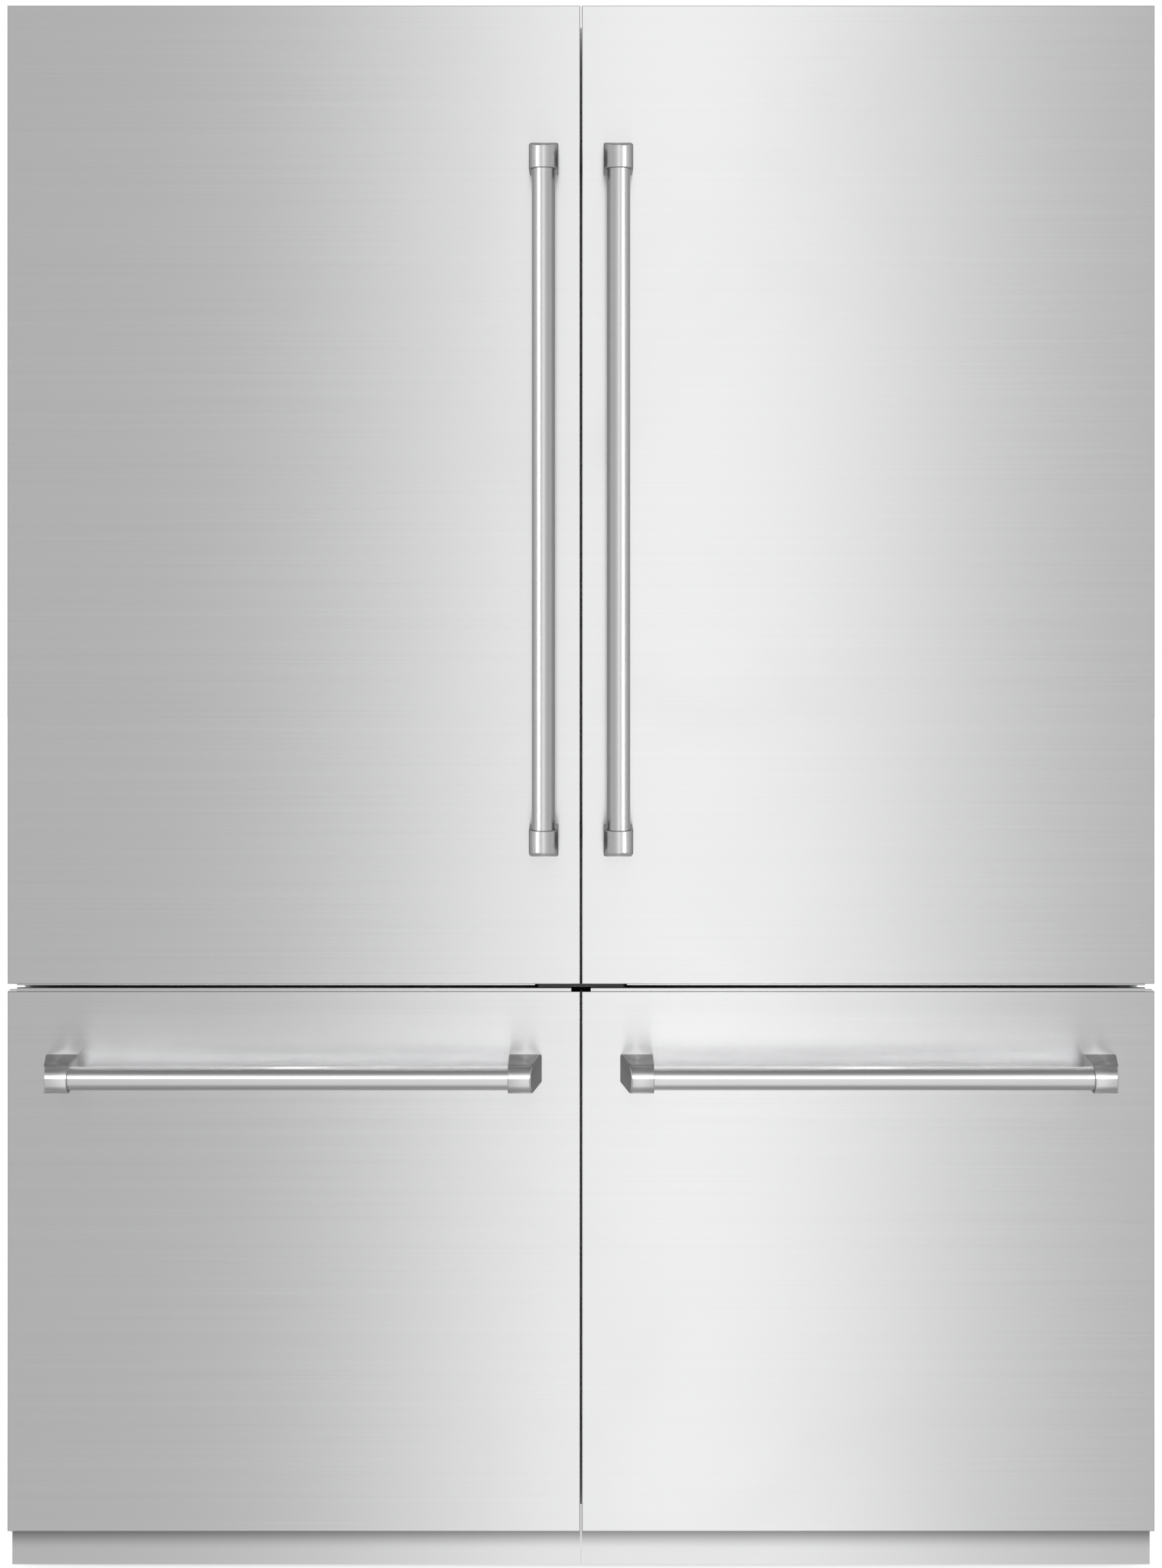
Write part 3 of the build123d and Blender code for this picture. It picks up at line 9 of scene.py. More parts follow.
# %% Load the frame
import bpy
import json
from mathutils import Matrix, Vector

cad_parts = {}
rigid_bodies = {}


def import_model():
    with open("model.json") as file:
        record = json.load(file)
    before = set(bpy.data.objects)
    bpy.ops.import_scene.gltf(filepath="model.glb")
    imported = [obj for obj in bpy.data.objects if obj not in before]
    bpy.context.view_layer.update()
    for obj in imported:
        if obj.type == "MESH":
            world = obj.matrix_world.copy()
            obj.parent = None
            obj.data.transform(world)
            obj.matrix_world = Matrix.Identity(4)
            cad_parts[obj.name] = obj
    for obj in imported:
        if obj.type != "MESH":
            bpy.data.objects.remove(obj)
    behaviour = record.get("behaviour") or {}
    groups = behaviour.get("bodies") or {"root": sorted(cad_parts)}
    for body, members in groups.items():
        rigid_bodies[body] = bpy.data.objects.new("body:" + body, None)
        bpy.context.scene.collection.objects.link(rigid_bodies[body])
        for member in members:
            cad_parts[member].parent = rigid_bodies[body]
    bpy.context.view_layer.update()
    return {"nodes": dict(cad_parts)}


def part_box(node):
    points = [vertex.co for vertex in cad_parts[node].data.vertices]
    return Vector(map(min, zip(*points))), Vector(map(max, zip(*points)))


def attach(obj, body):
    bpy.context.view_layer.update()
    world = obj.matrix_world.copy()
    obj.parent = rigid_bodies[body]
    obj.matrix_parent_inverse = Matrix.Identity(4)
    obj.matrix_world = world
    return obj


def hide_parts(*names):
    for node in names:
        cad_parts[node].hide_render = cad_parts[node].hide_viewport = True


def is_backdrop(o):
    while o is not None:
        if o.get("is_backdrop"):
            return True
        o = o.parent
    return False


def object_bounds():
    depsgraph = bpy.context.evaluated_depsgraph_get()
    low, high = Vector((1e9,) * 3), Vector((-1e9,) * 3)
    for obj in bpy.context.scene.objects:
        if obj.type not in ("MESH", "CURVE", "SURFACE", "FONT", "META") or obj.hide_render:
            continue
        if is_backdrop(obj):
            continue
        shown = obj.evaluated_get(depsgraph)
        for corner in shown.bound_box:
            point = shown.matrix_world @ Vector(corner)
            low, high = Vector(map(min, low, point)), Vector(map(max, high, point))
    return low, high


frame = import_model()

# %% The modules and the two sides
import json
import math

import bmesh
import bpy
from mathutils import Matrix, Vector

MM = 0.001
SIDES = {"left": -1, "right": 1}
nodes = frame["nodes"]
slot_of = {name: piece.material_slots[0].material.name for name, piece in nodes.items()}
print(len(nodes), "CAD nodes in", len(set(slot_of.values())), "material slots")

# %% [markdown]
# ## Reading sizes from the frame
# Many nodes hold the same piece for both columns. A maker who measures one column looks only at the points
# on its side of the seam, so this helper returns the corners of one half of a node.

# %% Measure one column's half of a node
def half_box(node, side):
    """Lowest and highest corners of the part of a node on one side of the seam."""
    points = [v.co for v in nodes[node].data.vertices if v.co.x * side > 0]
    low = Vector(min(p[axis] for p in points) for axis in range(3))
    high = Vector(max(p[axis] for p in points) for axis in range(3))
    return low, high


def evenly(first, last, count):
    """Evenly spaced values from first to last."""
    return [first + index * (last - first) / (count - 1) for index in range(count)]


print("left fridge liner:", [round(v, 3) for corner in half_box("fridge_liners", -1) for v in corner])

# %% [markdown]
# ## Node tools
# A material is a small graph of nodes. These helpers keep each finish short: one adds a node, one makes a
# shared group with named sockets, and one starts a material whose plain values sit directly on its shader.

# %% Node helpers
def add_node(tree, kind, **settings):
    node = tree.nodes.new(kind)
    for key, value in settings.items():
        setattr(node, key, value)
    return node


def new_group(name, inputs, outputs):
    """An empty shader group: inputs are (label, socket type, start value), outputs (label, socket type)."""
    tree = bpy.data.node_groups.new(name, "ShaderNodeTree")
    for label, kind, start in inputs:
        socket = tree.interface.new_socket(label, in_out="INPUT", socket_type=kind)
        socket.default_value = start
    for label, kind in outputs:
        tree.interface.new_socket(label, in_out="OUTPUT", socket_type=kind)
    return tree, tree.nodes.new("NodeGroupInput"), tree.nodes.new("NodeGroupOutput")


def start_finish(name, plain):
    """A material with its shader's plain values set, and an object-space coordinate to draw from."""
    material = bpy.data.materials.new(name)
    material.use_nodes = True
    tree = material.node_tree
    shader = tree.nodes["Principled BSDF"]
    for label, value in plain.items():
        shader.inputs[label].default_value = value
    place = add_node(tree, "ShaderNodeTexCoord").outputs["Object"]
    return material, tree, shader, place


def use_group(tree, group, place, values):
    """One use of a shared group, with its own values."""
    node = add_node(tree, "ShaderNodeGroup", node_tree=group)
    tree.links.new(place, node.inputs["Vector"])
    for label, value in values.items():
        node.inputs[label].default_value = value
    return node


def spread(tree, mask, low, high):
    """A mask from 0 to 1 turned into a value between two limits."""
    node = add_node(tree, "ShaderNodeMapRange")
    tree.links.new(mask, node.inputs["Value"])
    node.inputs["To Min"].default_value = low
    node.inputs["To Max"].default_value = high
    return node.outputs["Result"]


def tones(tree, mask, dark, light):
    """A mask turned into a colour between two tones."""
    ramp = add_node(tree, "ShaderNodeValToRGB")
    ramp.color_ramp.elements[0].color = (*dark, 1)
    ramp.color_ramp.elements[1].color = (*light, 1)
    tree.links.new(mask, ramp.inputs["Fac"])
    return ramp.outputs["Color"]


def bump(tree, height, strength, distance):
    node = add_node(tree, "ShaderNodeBump")
    node.inputs["Strength"].default_value = strength
    node.inputs["Distance"].default_value = distance
    tree.links.new(height, node.inputs["Height"])
    return node.outputs["Normal"]


print("node helpers ready")

# %% [markdown]
# ## Shared effects
# Four effects return on many surfaces. *Brushed grain* is noise pulled out along one direction, as an
# abrasive belt leaves it. *Moulded skin* is the faint orange-peel of paint and of injection-moulded
# plastic. *Handling* is the soft, wide unevenness that wiping and touching leave. *Edge wear* finds outside
# corners by comparing the true normal with a rounded one, so it works on any mesh. Each could be rebuilt
# inside every material, but one group with named inputs keeps the same look everywhere and lets each finish
# choose its own scale.

# %% Brushed grain
VECTOR_INPUT = ("Vector", "NodeSocketVector", (0, 0, 0))


def make_brushed_grain():
    inputs = [VECTOR_INPUT, ("Lines per metre", "NodeSocketVector", (4, 900, 900))]
    outputs = [("Fine", "NodeSocketFloat"), ("Broad", "NodeSocketFloat")]
    tree, come_in, go_out = new_group("brushed_grain", inputs, outputs)
    stretch = add_node(tree, "ShaderNodeVectorMath", operation="MULTIPLY")
    tree.links.new(come_in.outputs["Vector"], stretch.inputs[0])
    tree.links.new(come_in.outputs["Lines per metre"], stretch.inputs[1])
    for label, scale, detail in (("Fine", 1.0, 3.0), ("Broad", 0.09, 2.0)):
        noise = add_node(tree, "ShaderNodeTexNoise")
        noise.inputs["Scale"].default_value = scale
        noise.inputs["Detail"].default_value = detail
        tree.links.new(stretch.outputs["Vector"], noise.inputs["Vector"])
        tree.links.new(noise.outputs["Fac"], go_out.inputs[label])
    return tree


brushed_grain = make_brushed_grain()
print("group:", brushed_grain.name)

# %% Moulded skin
def make_moulded_skin():
    inputs = [VECTOR_INPUT, ("Grains per metre", "NodeSocketFloat", 700.0)]
    outputs = [("Grain", "NodeSocketFloat"), ("Cloud", "NodeSocketFloat")]
    tree, come_in, go_out = new_group("moulded_skin", inputs, outputs)
    grain = add_node(tree, "ShaderNodeTexNoise")
    grain.inputs["Detail"].default_value = 2.0
    cloud = add_node(tree, "ShaderNodeTexNoise")
    cloud.inputs["Scale"].default_value = 5.0
    cloud.inputs["Detail"].default_value = 3.0
    tree.links.new(come_in.outputs["Vector"], grain.inputs["Vector"])
    tree.links.new(come_in.outputs["Grains per metre"], grain.inputs["Scale"])
    tree.links.new(come_in.outputs["Vector"], cloud.inputs["Vector"])
    tree.links.new(grain.outputs["Fac"], go_out.inputs["Grain"])
    tree.links.new(cloud.outputs["Fac"], go_out.inputs["Cloud"])
    return tree


moulded_skin = make_moulded_skin()
print("group:", moulded_skin.name)

# %% Handling marks
def make_handling_marks():
    inputs = [VECTOR_INPUT, ("Marks per metre", "NodeSocketFloat", 6.0)]
    tree, come_in, go_out = new_group("handling_marks", inputs, [("Marks", "NodeSocketFloat")])
    noise = add_node(tree, "ShaderNodeTexNoise")
    noise.inputs["Detail"].default_value = 5.0
    noise.inputs["Distortion"].default_value = 0.8
    limit = add_node(tree, "ShaderNodeMapRange", interpolation_type="SMOOTHSTEP")
    limit.inputs["From Min"].default_value = 0.45
    limit.inputs["From Max"].default_value = 0.75
    tree.links.new(come_in.outputs["Vector"], noise.inputs["Vector"])
    tree.links.new(come_in.outputs["Marks per metre"], noise.inputs["Scale"])
    tree.links.new(noise.outputs["Fac"], limit.inputs["Value"])
    tree.links.new(limit.outputs["Result"], go_out.inputs["Marks"])
    return tree


handling_marks = make_handling_marks()
print("group:", handling_marks.name)

# %% Edge wear
def make_edge_wear():
    inputs = [VECTOR_INPUT, ("Radius", "NodeSocketFloat", 0.002)]
    tree, come_in, go_out = new_group("edge_wear", inputs, [("Wear", "NodeSocketFloat")])
    rounded = add_node(tree, "ShaderNodeBevel", samples=3)
    true_normal = add_node(tree, "ShaderNodeNewGeometry")
    match = add_node(tree, "ShaderNodeVectorMath", operation="DOT_PRODUCT")
    corner = add_node(tree, "ShaderNodeMapRange")
    corner.inputs["From Min"].default_value = 0.985
    corner.inputs["From Max"].default_value = 0.80
    patches = add_node(tree, "ShaderNodeTexNoise")
    patches.inputs["Scale"].default_value = 120.0
    broken = add_node(tree, "ShaderNodeMath", operation="MULTIPLY")
    tree.links.new(come_in.outputs["Radius"], rounded.inputs["Radius"])
    tree.links.new(rounded.outputs["Normal"], match.inputs[0])
    tree.links.new(true_normal.outputs["Normal"], match.inputs[1])
    tree.links.new(match.outputs["Value"], corner.inputs["Value"])
    tree.links.new(come_in.outputs["Vector"], patches.inputs["Vector"])
    tree.links.new(corner.outputs["Result"], broken.inputs[0])
    tree.links.new(patches.outputs["Fac"], broken.inputs[1])
    tree.links.new(broken.outputs["Value"], go_out.inputs["Wear"])
    return tree


edge_wear = make_edge_wear()
print("group:", edge_wear.name)

# %% [markdown]
# ## Stainless steel
# The fronts are sheet brushed from side to side. Each scratch is a tiny groove along X, so the sheet
# mirrors the room fairly sharply from side to side but smears it upwards: that is anisotropy, turned a
# quarter so that the smear stands upright. The handles are satin bar, brushed finely along their length.
# Gloss, metalness and anisotropy are the same all over, so they are plain values, and only the grain
# varies.

# %% Brushed and satin stainless
KICK_SHADE_LOW = 0.022
KICK_SHADE_HIGH = 0.053


def top_shade(tree, place, colour):
    """The same colour, darker towards the kick plate's top, where the drawer keeps the light off it."""
    height = add_node(tree, "ShaderNodeSeparateXYZ")
    tree.links.new(place, height.inputs["Vector"])
    fall = add_node(tree, "ShaderNodeMapRange", interpolation_type="SMOOTHSTEP")
    fall.inputs["From Min"].default_value = KICK_SHADE_LOW
    fall.inputs["From Max"].default_value = KICK_SHADE_HIGH
    tree.links.new(height.outputs["Z"], fall.inputs["Value"])
    shaded = add_node(tree, "ShaderNodeMix", data_type="RGBA")
    shaded.inputs["B"].default_value = (0.20, 0.20, 0.20, 1)
    tree.links.new(fall.outputs["Result"], shaded.inputs["Factor"])
    tree.links.new(colour, shaded.inputs["A"])
    return shaded.outputs["Result"]


def stainless(name, dark, light, lines, rough, turned, shade=False):
    """Brushed steel: streaked tone, streaked roughness, and a very shallow groove."""
    plain = {"Metallic": 1.0, "Anisotropic": 0.85, "Anisotropic Rotation": 0.25 if turned else 0.0}
    material, tree, shader, place = start_finish(name, plain)
    grain = use_group(tree, brushed_grain, place, {"Lines per metre": lines})
    marks = use_group(tree, handling_marks, place, {"Marks per metre": 3.0})
    both = add_node(tree, "ShaderNodeMix", data_type="FLOAT")
    both.inputs["Factor"].default_value = 0.45
    tree.links.new(grain.outputs["Fine"], both.inputs["A"])
    tree.links.new(grain.outputs["Broad"], both.inputs["B"])
    streaks = both.outputs["Result"]
    colour = tones(tree, streaks, dark, light)
    if shade:
        colour = top_shade(tree, place, colour)
    tree.links.new(colour, shader.inputs["Base Color"])
    low_rough = spread(tree, streaks, rough[0], rough[1])
    wiped = add_node(tree, "ShaderNodeMath", operation="MULTIPLY_ADD")
    wiped.inputs[1].default_value = 0.025
    tree.links.new(marks.outputs["Marks"], wiped.inputs[0])
    tree.links.new(low_rough, wiped.inputs[2])
    tree.links.new(wiped.outputs["Value"], shader.inputs["Roughness"])
    tree.links.new(bump(tree, grain.outputs["Fine"], 0.05, 0.0001), shader.inputs["Normal"])
    return material


SHEET_LINES = (2.5, 700, 700)
SATIN_DARK = (0.64, 0.64, 0.645)
SATIN_LIGHT = (0.72, 0.72, 0.725)
SATIN_ROUGH = (0.20, 0.25)

finish = {}
finish["brushed_stainless"] = stainless(
    "brushed_stainless_sheet", (0.590, 0.591, 0.595), (0.660, 0.661, 0.663), SHEET_LINES, (0.21, 0.26), True
)
finish["satin_stainless"] = stainless(
    "satin_stainless_level", SATIN_DARK, SATIN_LIGHT, (3, 1100, 1100), SATIN_ROUGH, False
)
upright_satin = stainless(
    "satin_stainless_upright", SATIN_DARK, SATIN_LIGHT, (1100, 1100, 3), SATIN_ROUGH, False
)


def satin_with_painted_shade(polished_name, painted_shade_tone, flat_rough):
    """Bracket steel: the round nose is polished bright, and the flat faces are matt, with painted shade
    darkening their colour.
    """
    material = finish["satin_stainless"].copy()
    material.name = polished_name
    tree = material.node_tree
    shader = tree.nodes["Principled BSDF"]
    facing = add_node(tree, "ShaderNodeSeparateXYZ")
    tree.links.new(add_node(tree, "ShaderNodeTexCoord").outputs["Normal"], facing.inputs["Vector"])
    forward = add_node(tree, "ShaderNodeMath", operation="ABSOLUTE")
    tree.links.new(facing.outputs["Y"], forward.inputs[0])
    flat = add_node(tree, "ShaderNodeMapRange", interpolation_type="SMOOTHSTEP")
    for label, value in (("From Min", 0.22), ("From Max", 0.42), ("To Min", 1.0), ("To Max", 0.0)):
        flat.inputs[label].default_value = value
    tree.links.new(forward.outputs["Value"], flat.inputs["Value"])
    # Painted shade: faces that turn away from front and back get a darker colour, standing for the dark room
    # they mirror; only their matt roughness is real finish.
    colour = add_node(tree, "ShaderNodeMix", data_type="RGBA")
    colour.inputs["B"].default_value = (painted_shade_tone, painted_shade_tone, painted_shade_tone, 1)
    gloss = add_node(tree, "ShaderNodeMix", data_type="FLOAT")
    gloss.inputs["B"].default_value = flat_rough
    for mix, label in ((colour, "Base Color"), (gloss, "Roughness")):
        tree.links.new(flat.outputs["Result"], mix.inputs["Factor"])
        tree.links.new(shader.inputs[label].links[0].from_socket, mix.inputs["A"])
        tree.links.new(mix.outputs["Result"], shader.inputs[label])
    return material


bracket_finish = satin_with_painted_shade("bracket_steel_painted_shade", 0.34, 0.36)
kick_finish = stainless(
    "kick_plate_sheet", (0.615, 0.616, 0.620), (0.690, 0.691, 0.693), SHEET_LINES, (0.26, 0.32), True,
    shade=True,
)
print("stainless finishes:", sorted(finish))

# %% [markdown]
# ## Painted and zinc-coated steel
# The outer cases are folded from pre-painted sheet, with a fine orange-peel and a little bare metal where
# corners rub. The back panels and machine covers are galvanised, and zinc freezes in flat crystals: a
# Voronoi pattern gives each crystal its own tone. Bolted parts are plated, so their crystals are too small
# to see.

# %% Painted steel
def painted(name, dark, light, bare, rough):
    """Sprayed paint over steel: clouded tone, orange-peel and worn corners."""
    material, tree, shader, place = start_finish(name, {"Specular IOR Level": 0.5})
    skin = use_group(tree, moulded_skin, place, {"Grains per metre": 420.0})
    wear = use_group(tree, edge_wear, place, {"Radius": 0.0015})
    paint = tones(tree, skin.outputs["Cloud"], dark, light)
    worn = add_node(tree, "ShaderNodeMix", data_type="RGBA")
    tree.links.new(wear.outputs["Wear"], worn.inputs["Factor"])
    tree.links.new(paint, worn.inputs["A"])
    worn.inputs["B"].default_value = (*bare, 1)
    tree.links.new(worn.outputs["Result"], shader.inputs["Base Color"])
    tree.links.new(spread(tree, skin.outputs["Cloud"], *rough), shader.inputs["Roughness"])
    tree.links.new(bump(tree, skin.outputs["Grain"], 0.12, 0.0004), shader.inputs["Normal"])
    return material


finish["case_paint"] = painted(
    "case_paint_grey", (0.36, 0.37, 0.38), (0.42, 0.43, 0.44), (0.62, 0.62, 0.62), (0.38, 0.48)
)
finish["black_steel"] = painted(
    "black_steel_paint", (0.018, 0.018, 0.020), (0.035, 0.035, 0.038), (0.25, 0.25, 0.25), (0.35, 0.5)
)
print("painted finishes:", finish["case_paint"].name, finish["black_steel"].name)

# %% Zinc-coated steel
def zinc(name, dark, light, crystals, rough):
    """Galvanised sheet: crystals of slightly different tone and gloss."""
    material, tree, shader, place = start_finish(name, {"Metallic": 0.9})
    cells = add_node(tree, "ShaderNodeTexVoronoi")
    cells.inputs["Scale"].default_value = crystals
    tree.links.new(place, cells.inputs["Vector"])
    crystal = add_node(tree, "ShaderNodeSeparateColor")
    tree.links.new(cells.outputs["Color"], crystal.inputs["Color"])
    marks = use_group(tree, handling_marks, place, {"Marks per metre": 9.0})
    dusty = add_node(tree, "ShaderNodeMath", operation="MULTIPLY_ADD")
    dusty.inputs[1].default_value = 0.10
    tree.links.new(marks.outputs["Marks"], dusty.inputs[0])
    tree.links.new(spread(tree, crystal.outputs["Green"], *rough), dusty.inputs[2])
    tree.links.new(tones(tree, crystal.outputs["Red"], dark, light), shader.inputs["Base Color"])
    tree.links.new(dusty.outputs["Value"], shader.inputs["Roughness"])
    tree.links.new(bump(tree, crystal.outputs["Blue"], 0.04, 0.0002), shader.inputs["Normal"])
    return material


finish["zinc_sheet"] = zinc("galvanised_sheet", (0.54, 0.55, 0.57), (0.61, 0.62, 0.64), 190.0, (0.40, 0.48))
finish["zinc_steel"] = zinc("plated_steel", (0.48, 0.49, 0.50), (0.56, 0.57, 0.58), 900.0, (0.28, 0.36))
finish["fin_aluminium"] = zinc(
    "fin_aluminium_sheet", (0.66, 0.67, 0.68), (0.76, 0.77, 0.78), 500.0, (0.3, 0.42)
)
print("zinc and aluminium finishes done")

# %% [markdown]
# ## Plastics, rubber and foam
# Liners are vacuum-formed from white sheet, so they are smooth and slightly glossy. Door cores and black
# parts are moulded with a fine matt texture. The seal is soft grey rubber. All share one recipe, with their
# own tone, gloss and grain, because they differ in degree and not in kind.

# %% Moulded plastics
def plastic(name, dark, light, rough, grains, depth, extra=None):
    """Moulded plastic: a clouded tone over a fine skin."""
    material, tree, shader, place = start_finish(name, extra or {})
    skin = use_group(tree, moulded_skin, place, {"Grains per metre": grains})
    tree.links.new(tones(tree, skin.outputs["Cloud"], dark, light), shader.inputs["Base Color"])
    tree.links.new(spread(tree, skin.outputs["Grain"], *rough), shader.inputs["Roughness"])
    tree.links.new(bump(tree, skin.outputs["Grain"], depth, 0.0003), shader.inputs["Normal"])
    return material


finish["core_grey"] = plastic(
    "core_grey_moulded", (0.46, 0.465, 0.47), (0.52, 0.525, 0.53), (0.45, 0.6), 1500.0, 0.12
)
finish["liner_white"] = plastic(
    "liner_white_formed", (0.86, 0.87, 0.88), (0.90, 0.91, 0.92), (0.24, 0.34), 260.0, 0.05
)
finish["shelf_trim"] = plastic(
    "shelf_trim_moulded", (0.76, 0.77, 0.78), (0.82, 0.83, 0.84), (0.25, 0.35), 900.0, 0.06
)
finish["gasket_grey"] = plastic(
    "seal_rubber", (0.26, 0.26, 0.27), (0.33, 0.33, 0.34), (0.55, 0.7), 1200.0, 0.12
)
finish["black_plastic"] = plastic(
    "black_plastic_moulded", (0.018, 0.018, 0.018), (0.035, 0.035, 0.036), (0.4, 0.55), 1400.0, 0.15
)
finish["foam"] = plastic("foam_cut", (0.74, 0.66, 0.44), (0.84, 0.76, 0.54), (0.8, 0.95), 600.0, 0.6)
print("moulded finishes so far:", len(finish))

# %% [markdown]
# Some of the moulded parts let light through. Transmission on the shader does that, as a plain value: a
# little in the frosted freezer tubs, most in the door bins and crispers, and all of it in the glass. The
# lamp cover gives out light of its own, which its emission stands for.

# %% Clear plastics, glass and lamp cover
finish["freezer_plastic"] = plastic(
    "freezer_plastic_frosted", (0.82, 0.85, 0.88), (0.88, 0.91, 0.94), (0.30, 0.42), 500.0, 0.08,
    {"Transmission Weight": 0.35, "IOR": 1.49},
)
finish["clear_plastic"] = plastic(
    "clear_plastic_moulded", (0.95, 0.97, 0.98), (0.98, 0.99, 1.0), (0.05, 0.09), 200.0, 0.04,
    {"Transmission Weight": 0.82, "IOR": 1.25},
)
finish["shelf_glass"] = plastic(
    "shelf_glass_float", (0.90, 0.97, 0.95), (0.94, 0.99, 0.97), (0.01, 0.03), 60.0, 0.01,
    {"Transmission Weight": 1.0, "IOR": 1.52},
)
finish["light_lens"] = plastic(
    "light_lens_opal", (0.92, 0.92, 0.90), (0.98, 0.98, 0.96), (0.25, 0.35), 800.0, 0.05,
    {"Emission Color": (1.0, 0.98, 0.94, 1), "Emission Strength": 9.0},
)
print("clear finishes:", finish["clear_plastic"].name, finish["shelf_glass"].name)

# %% [markdown]
# A door or drawer core shows two finishes: grey moulding round its edge, and the white liner on the face
# that closes against the cabinet. Both lie on one solid, so the material itself changes where Y passes the
# liner's edge.

# %% Grey core with its white face
LINER_FACE = -0.2085


def lined_core():
    """The grey core with its white inner face: everything behind one upright plane is liner."""
    material = finish["core_grey"].copy()
    material.name = "core_with_white_face"
    tree = material.node_tree
    shader = tree.nodes["Principled BSDF"]
    place = add_node(tree, "ShaderNodeTexCoord").outputs["Object"]
    depth = add_node(tree, "ShaderNodeSeparateXYZ")
    tree.links.new(place, depth.inputs["Vector"])
    behind = add_node(tree, "ShaderNodeMath", operation="GREATER_THAN")
    behind.inputs[1].default_value = LINER_FACE
    tree.links.new(depth.outputs["Y"], behind.inputs[0])
    grey = shader.inputs["Base Color"].links[0].from_socket
    rough = shader.inputs["Roughness"].links[0].from_socket
    colour = add_node(tree, "ShaderNodeMix", data_type="RGBA")
    colour.inputs["B"].default_value = (0.88, 0.89, 0.90, 1)
    gloss = add_node(tree, "ShaderNodeMix", data_type="FLOAT")
    gloss.inputs["B"].default_value = 0.3
    for mix, start, label in ((colour, grey, "Base Color"), (gloss, rough, "Roughness")):
        tree.links.new(behind.outputs["Value"], mix.inputs["Factor"])
        tree.links.new(start, mix.inputs["A"])
        tree.links.new(mix.outputs["Result"], shader.inputs[label])
    return material


core_finish = lined_core()
print(len(finish), "finishes for", len(set(slot_of.values())), "slots")

# %% Put the finishes on the CAD nodes
for name, piece in nodes.items():
    piece.material_slots[0].material = finish[slot_of[name]]
    if name.endswith("_core"):
        piece.material_slots[0].material = core_finish
    if name == "kick_plates":
        piece.material_slots[0].material = kick_finish
print("finished nodes:", len(nodes))

# %% [markdown]
# ## Mesh tools
# Most pieces here are lofts: closed rings of points, skinned one after another. A tub, a seal, a pressed
# panel and a cast bracket are all lofts with different rings. Lofting gives clean quads, exact sizes and
# real rounded edges, which a cube with a modifier would only imitate.

# %% Rings and lofts
def rounded_rectangle(low, high, radius, steps=6):
    """Points of a rectangle with round corners, the same count for every size."""
    centres = [
        (high[0] - radius, high[1] - radius, 0),
        (low[0] + radius, high[1] - radius, 90),
        (low[0] + radius, low[1] + radius, 180),
        (high[0] - radius, low[1] + radius, 270),
    ]
    points = []
    for x, y, start in centres:
        for step in range(steps + 1):
            angle = math.radians(start + 90 * step / steps)
            points.append((x + radius * math.cos(angle), y + radius * math.sin(angle)))
    return points


def inset_ring(low, high, inset, radius, lift):
    """A rounded rectangle drawn in by inset, at one height."""
    corner = max(radius - inset, 0.0002)
    points = rounded_rectangle((low[0] + inset, low[1] + inset), (high[0] - inset, high[1] - inset), corner)
    return [(x, y, lift) for x, y in points]


def facing_ring(low, high, inset, radius, depth):
    """The same rounded rectangle stood upright, in X and Z, at one Y."""
    return [(x, depth, z) for x, z, _ in inset_ring(low, high, inset, radius, 0)]


def loft(mesh, rings, closed=False):
    """Skins a list of rings. An open loft gets end faces; a closed one joins its last ring to its first."""
    made = [[mesh.verts.new(point) for point in ring] for ring in rings]
    pairs = list(zip(made, made[1:]))
    if closed:
        pairs.append((made[-1], made[0]))
    for near, far in pairs:
        for index in range(len(near)):
            following = (index + 1) % len(near)
            mesh.faces.new((near[index], near[following], far[following], far[index]))
    if not closed:
        mesh.faces.new(reversed(made[0]))
        mesh.faces.new(made[-1])


print("mesh tools ready")

# %% From a mesh to a named piece
SHARP_ANGLE = math.radians(35)


def place_piece(name, mesh, slot, body, replaced=(), turn=None, look=None):
    """Turns a built mesh into a named piece: outward normals, smooth skin, finish and body."""
    if turn is not None:
        mesh.transform(turn)
    bmesh.ops.recalc_face_normals(mesh, faces=mesh.faces)
    data = bpy.data.meshes.new(name)
    mesh.to_mesh(data)
    mesh.free()
    data.shade_smooth()
    data.set_sharp_from_angle(angle=SHARP_ANGLE)
    piece = bpy.data.objects.new(name, data)
    bpy.context.scene.collection.objects.link(piece)
    data.materials.append(look or finish[slot])
    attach(piece, body)
    if replaced:
        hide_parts(*replaced)
    return piece


print("pieces turn sharp above, degrees:", round(math.degrees(SHARP_ANGLE)))

# %% [markdown]
# ## Handle bars
# Each handle is a round satin bar, 30 mm thick, let into two brackets. It is turned on a lathe, so the mesh
# is a lathe form too: circles along the axis with a small chamfer at each end, fine enough to stay round up
# close.

# %% Turn the four bars
BAR_CHAMFER = 1.0 * MM
BAR_FACETS = 96


def circle(radius, lift, facets=BAR_FACETS):
    turns = [2 * math.pi * index / facets for index in range(facets)]
    return [(radius * math.cos(turn), radius * math.sin(turn), lift) for turn in turns]


def turned_bar(radius, length):
    mesh = bmesh.new()
    half = length / 2
    lifts = evenly(-half + BAR_CHAMFER, half - BAR_CHAMFER, 9)
    rings = [circle(radius - BAR_CHAMFER, -half)]
    rings += [circle(radius, lift) for lift in lifts]
    rings += [circle(radius - BAR_CHAMFER, half)]
    loft(mesh, rings)
    return mesh


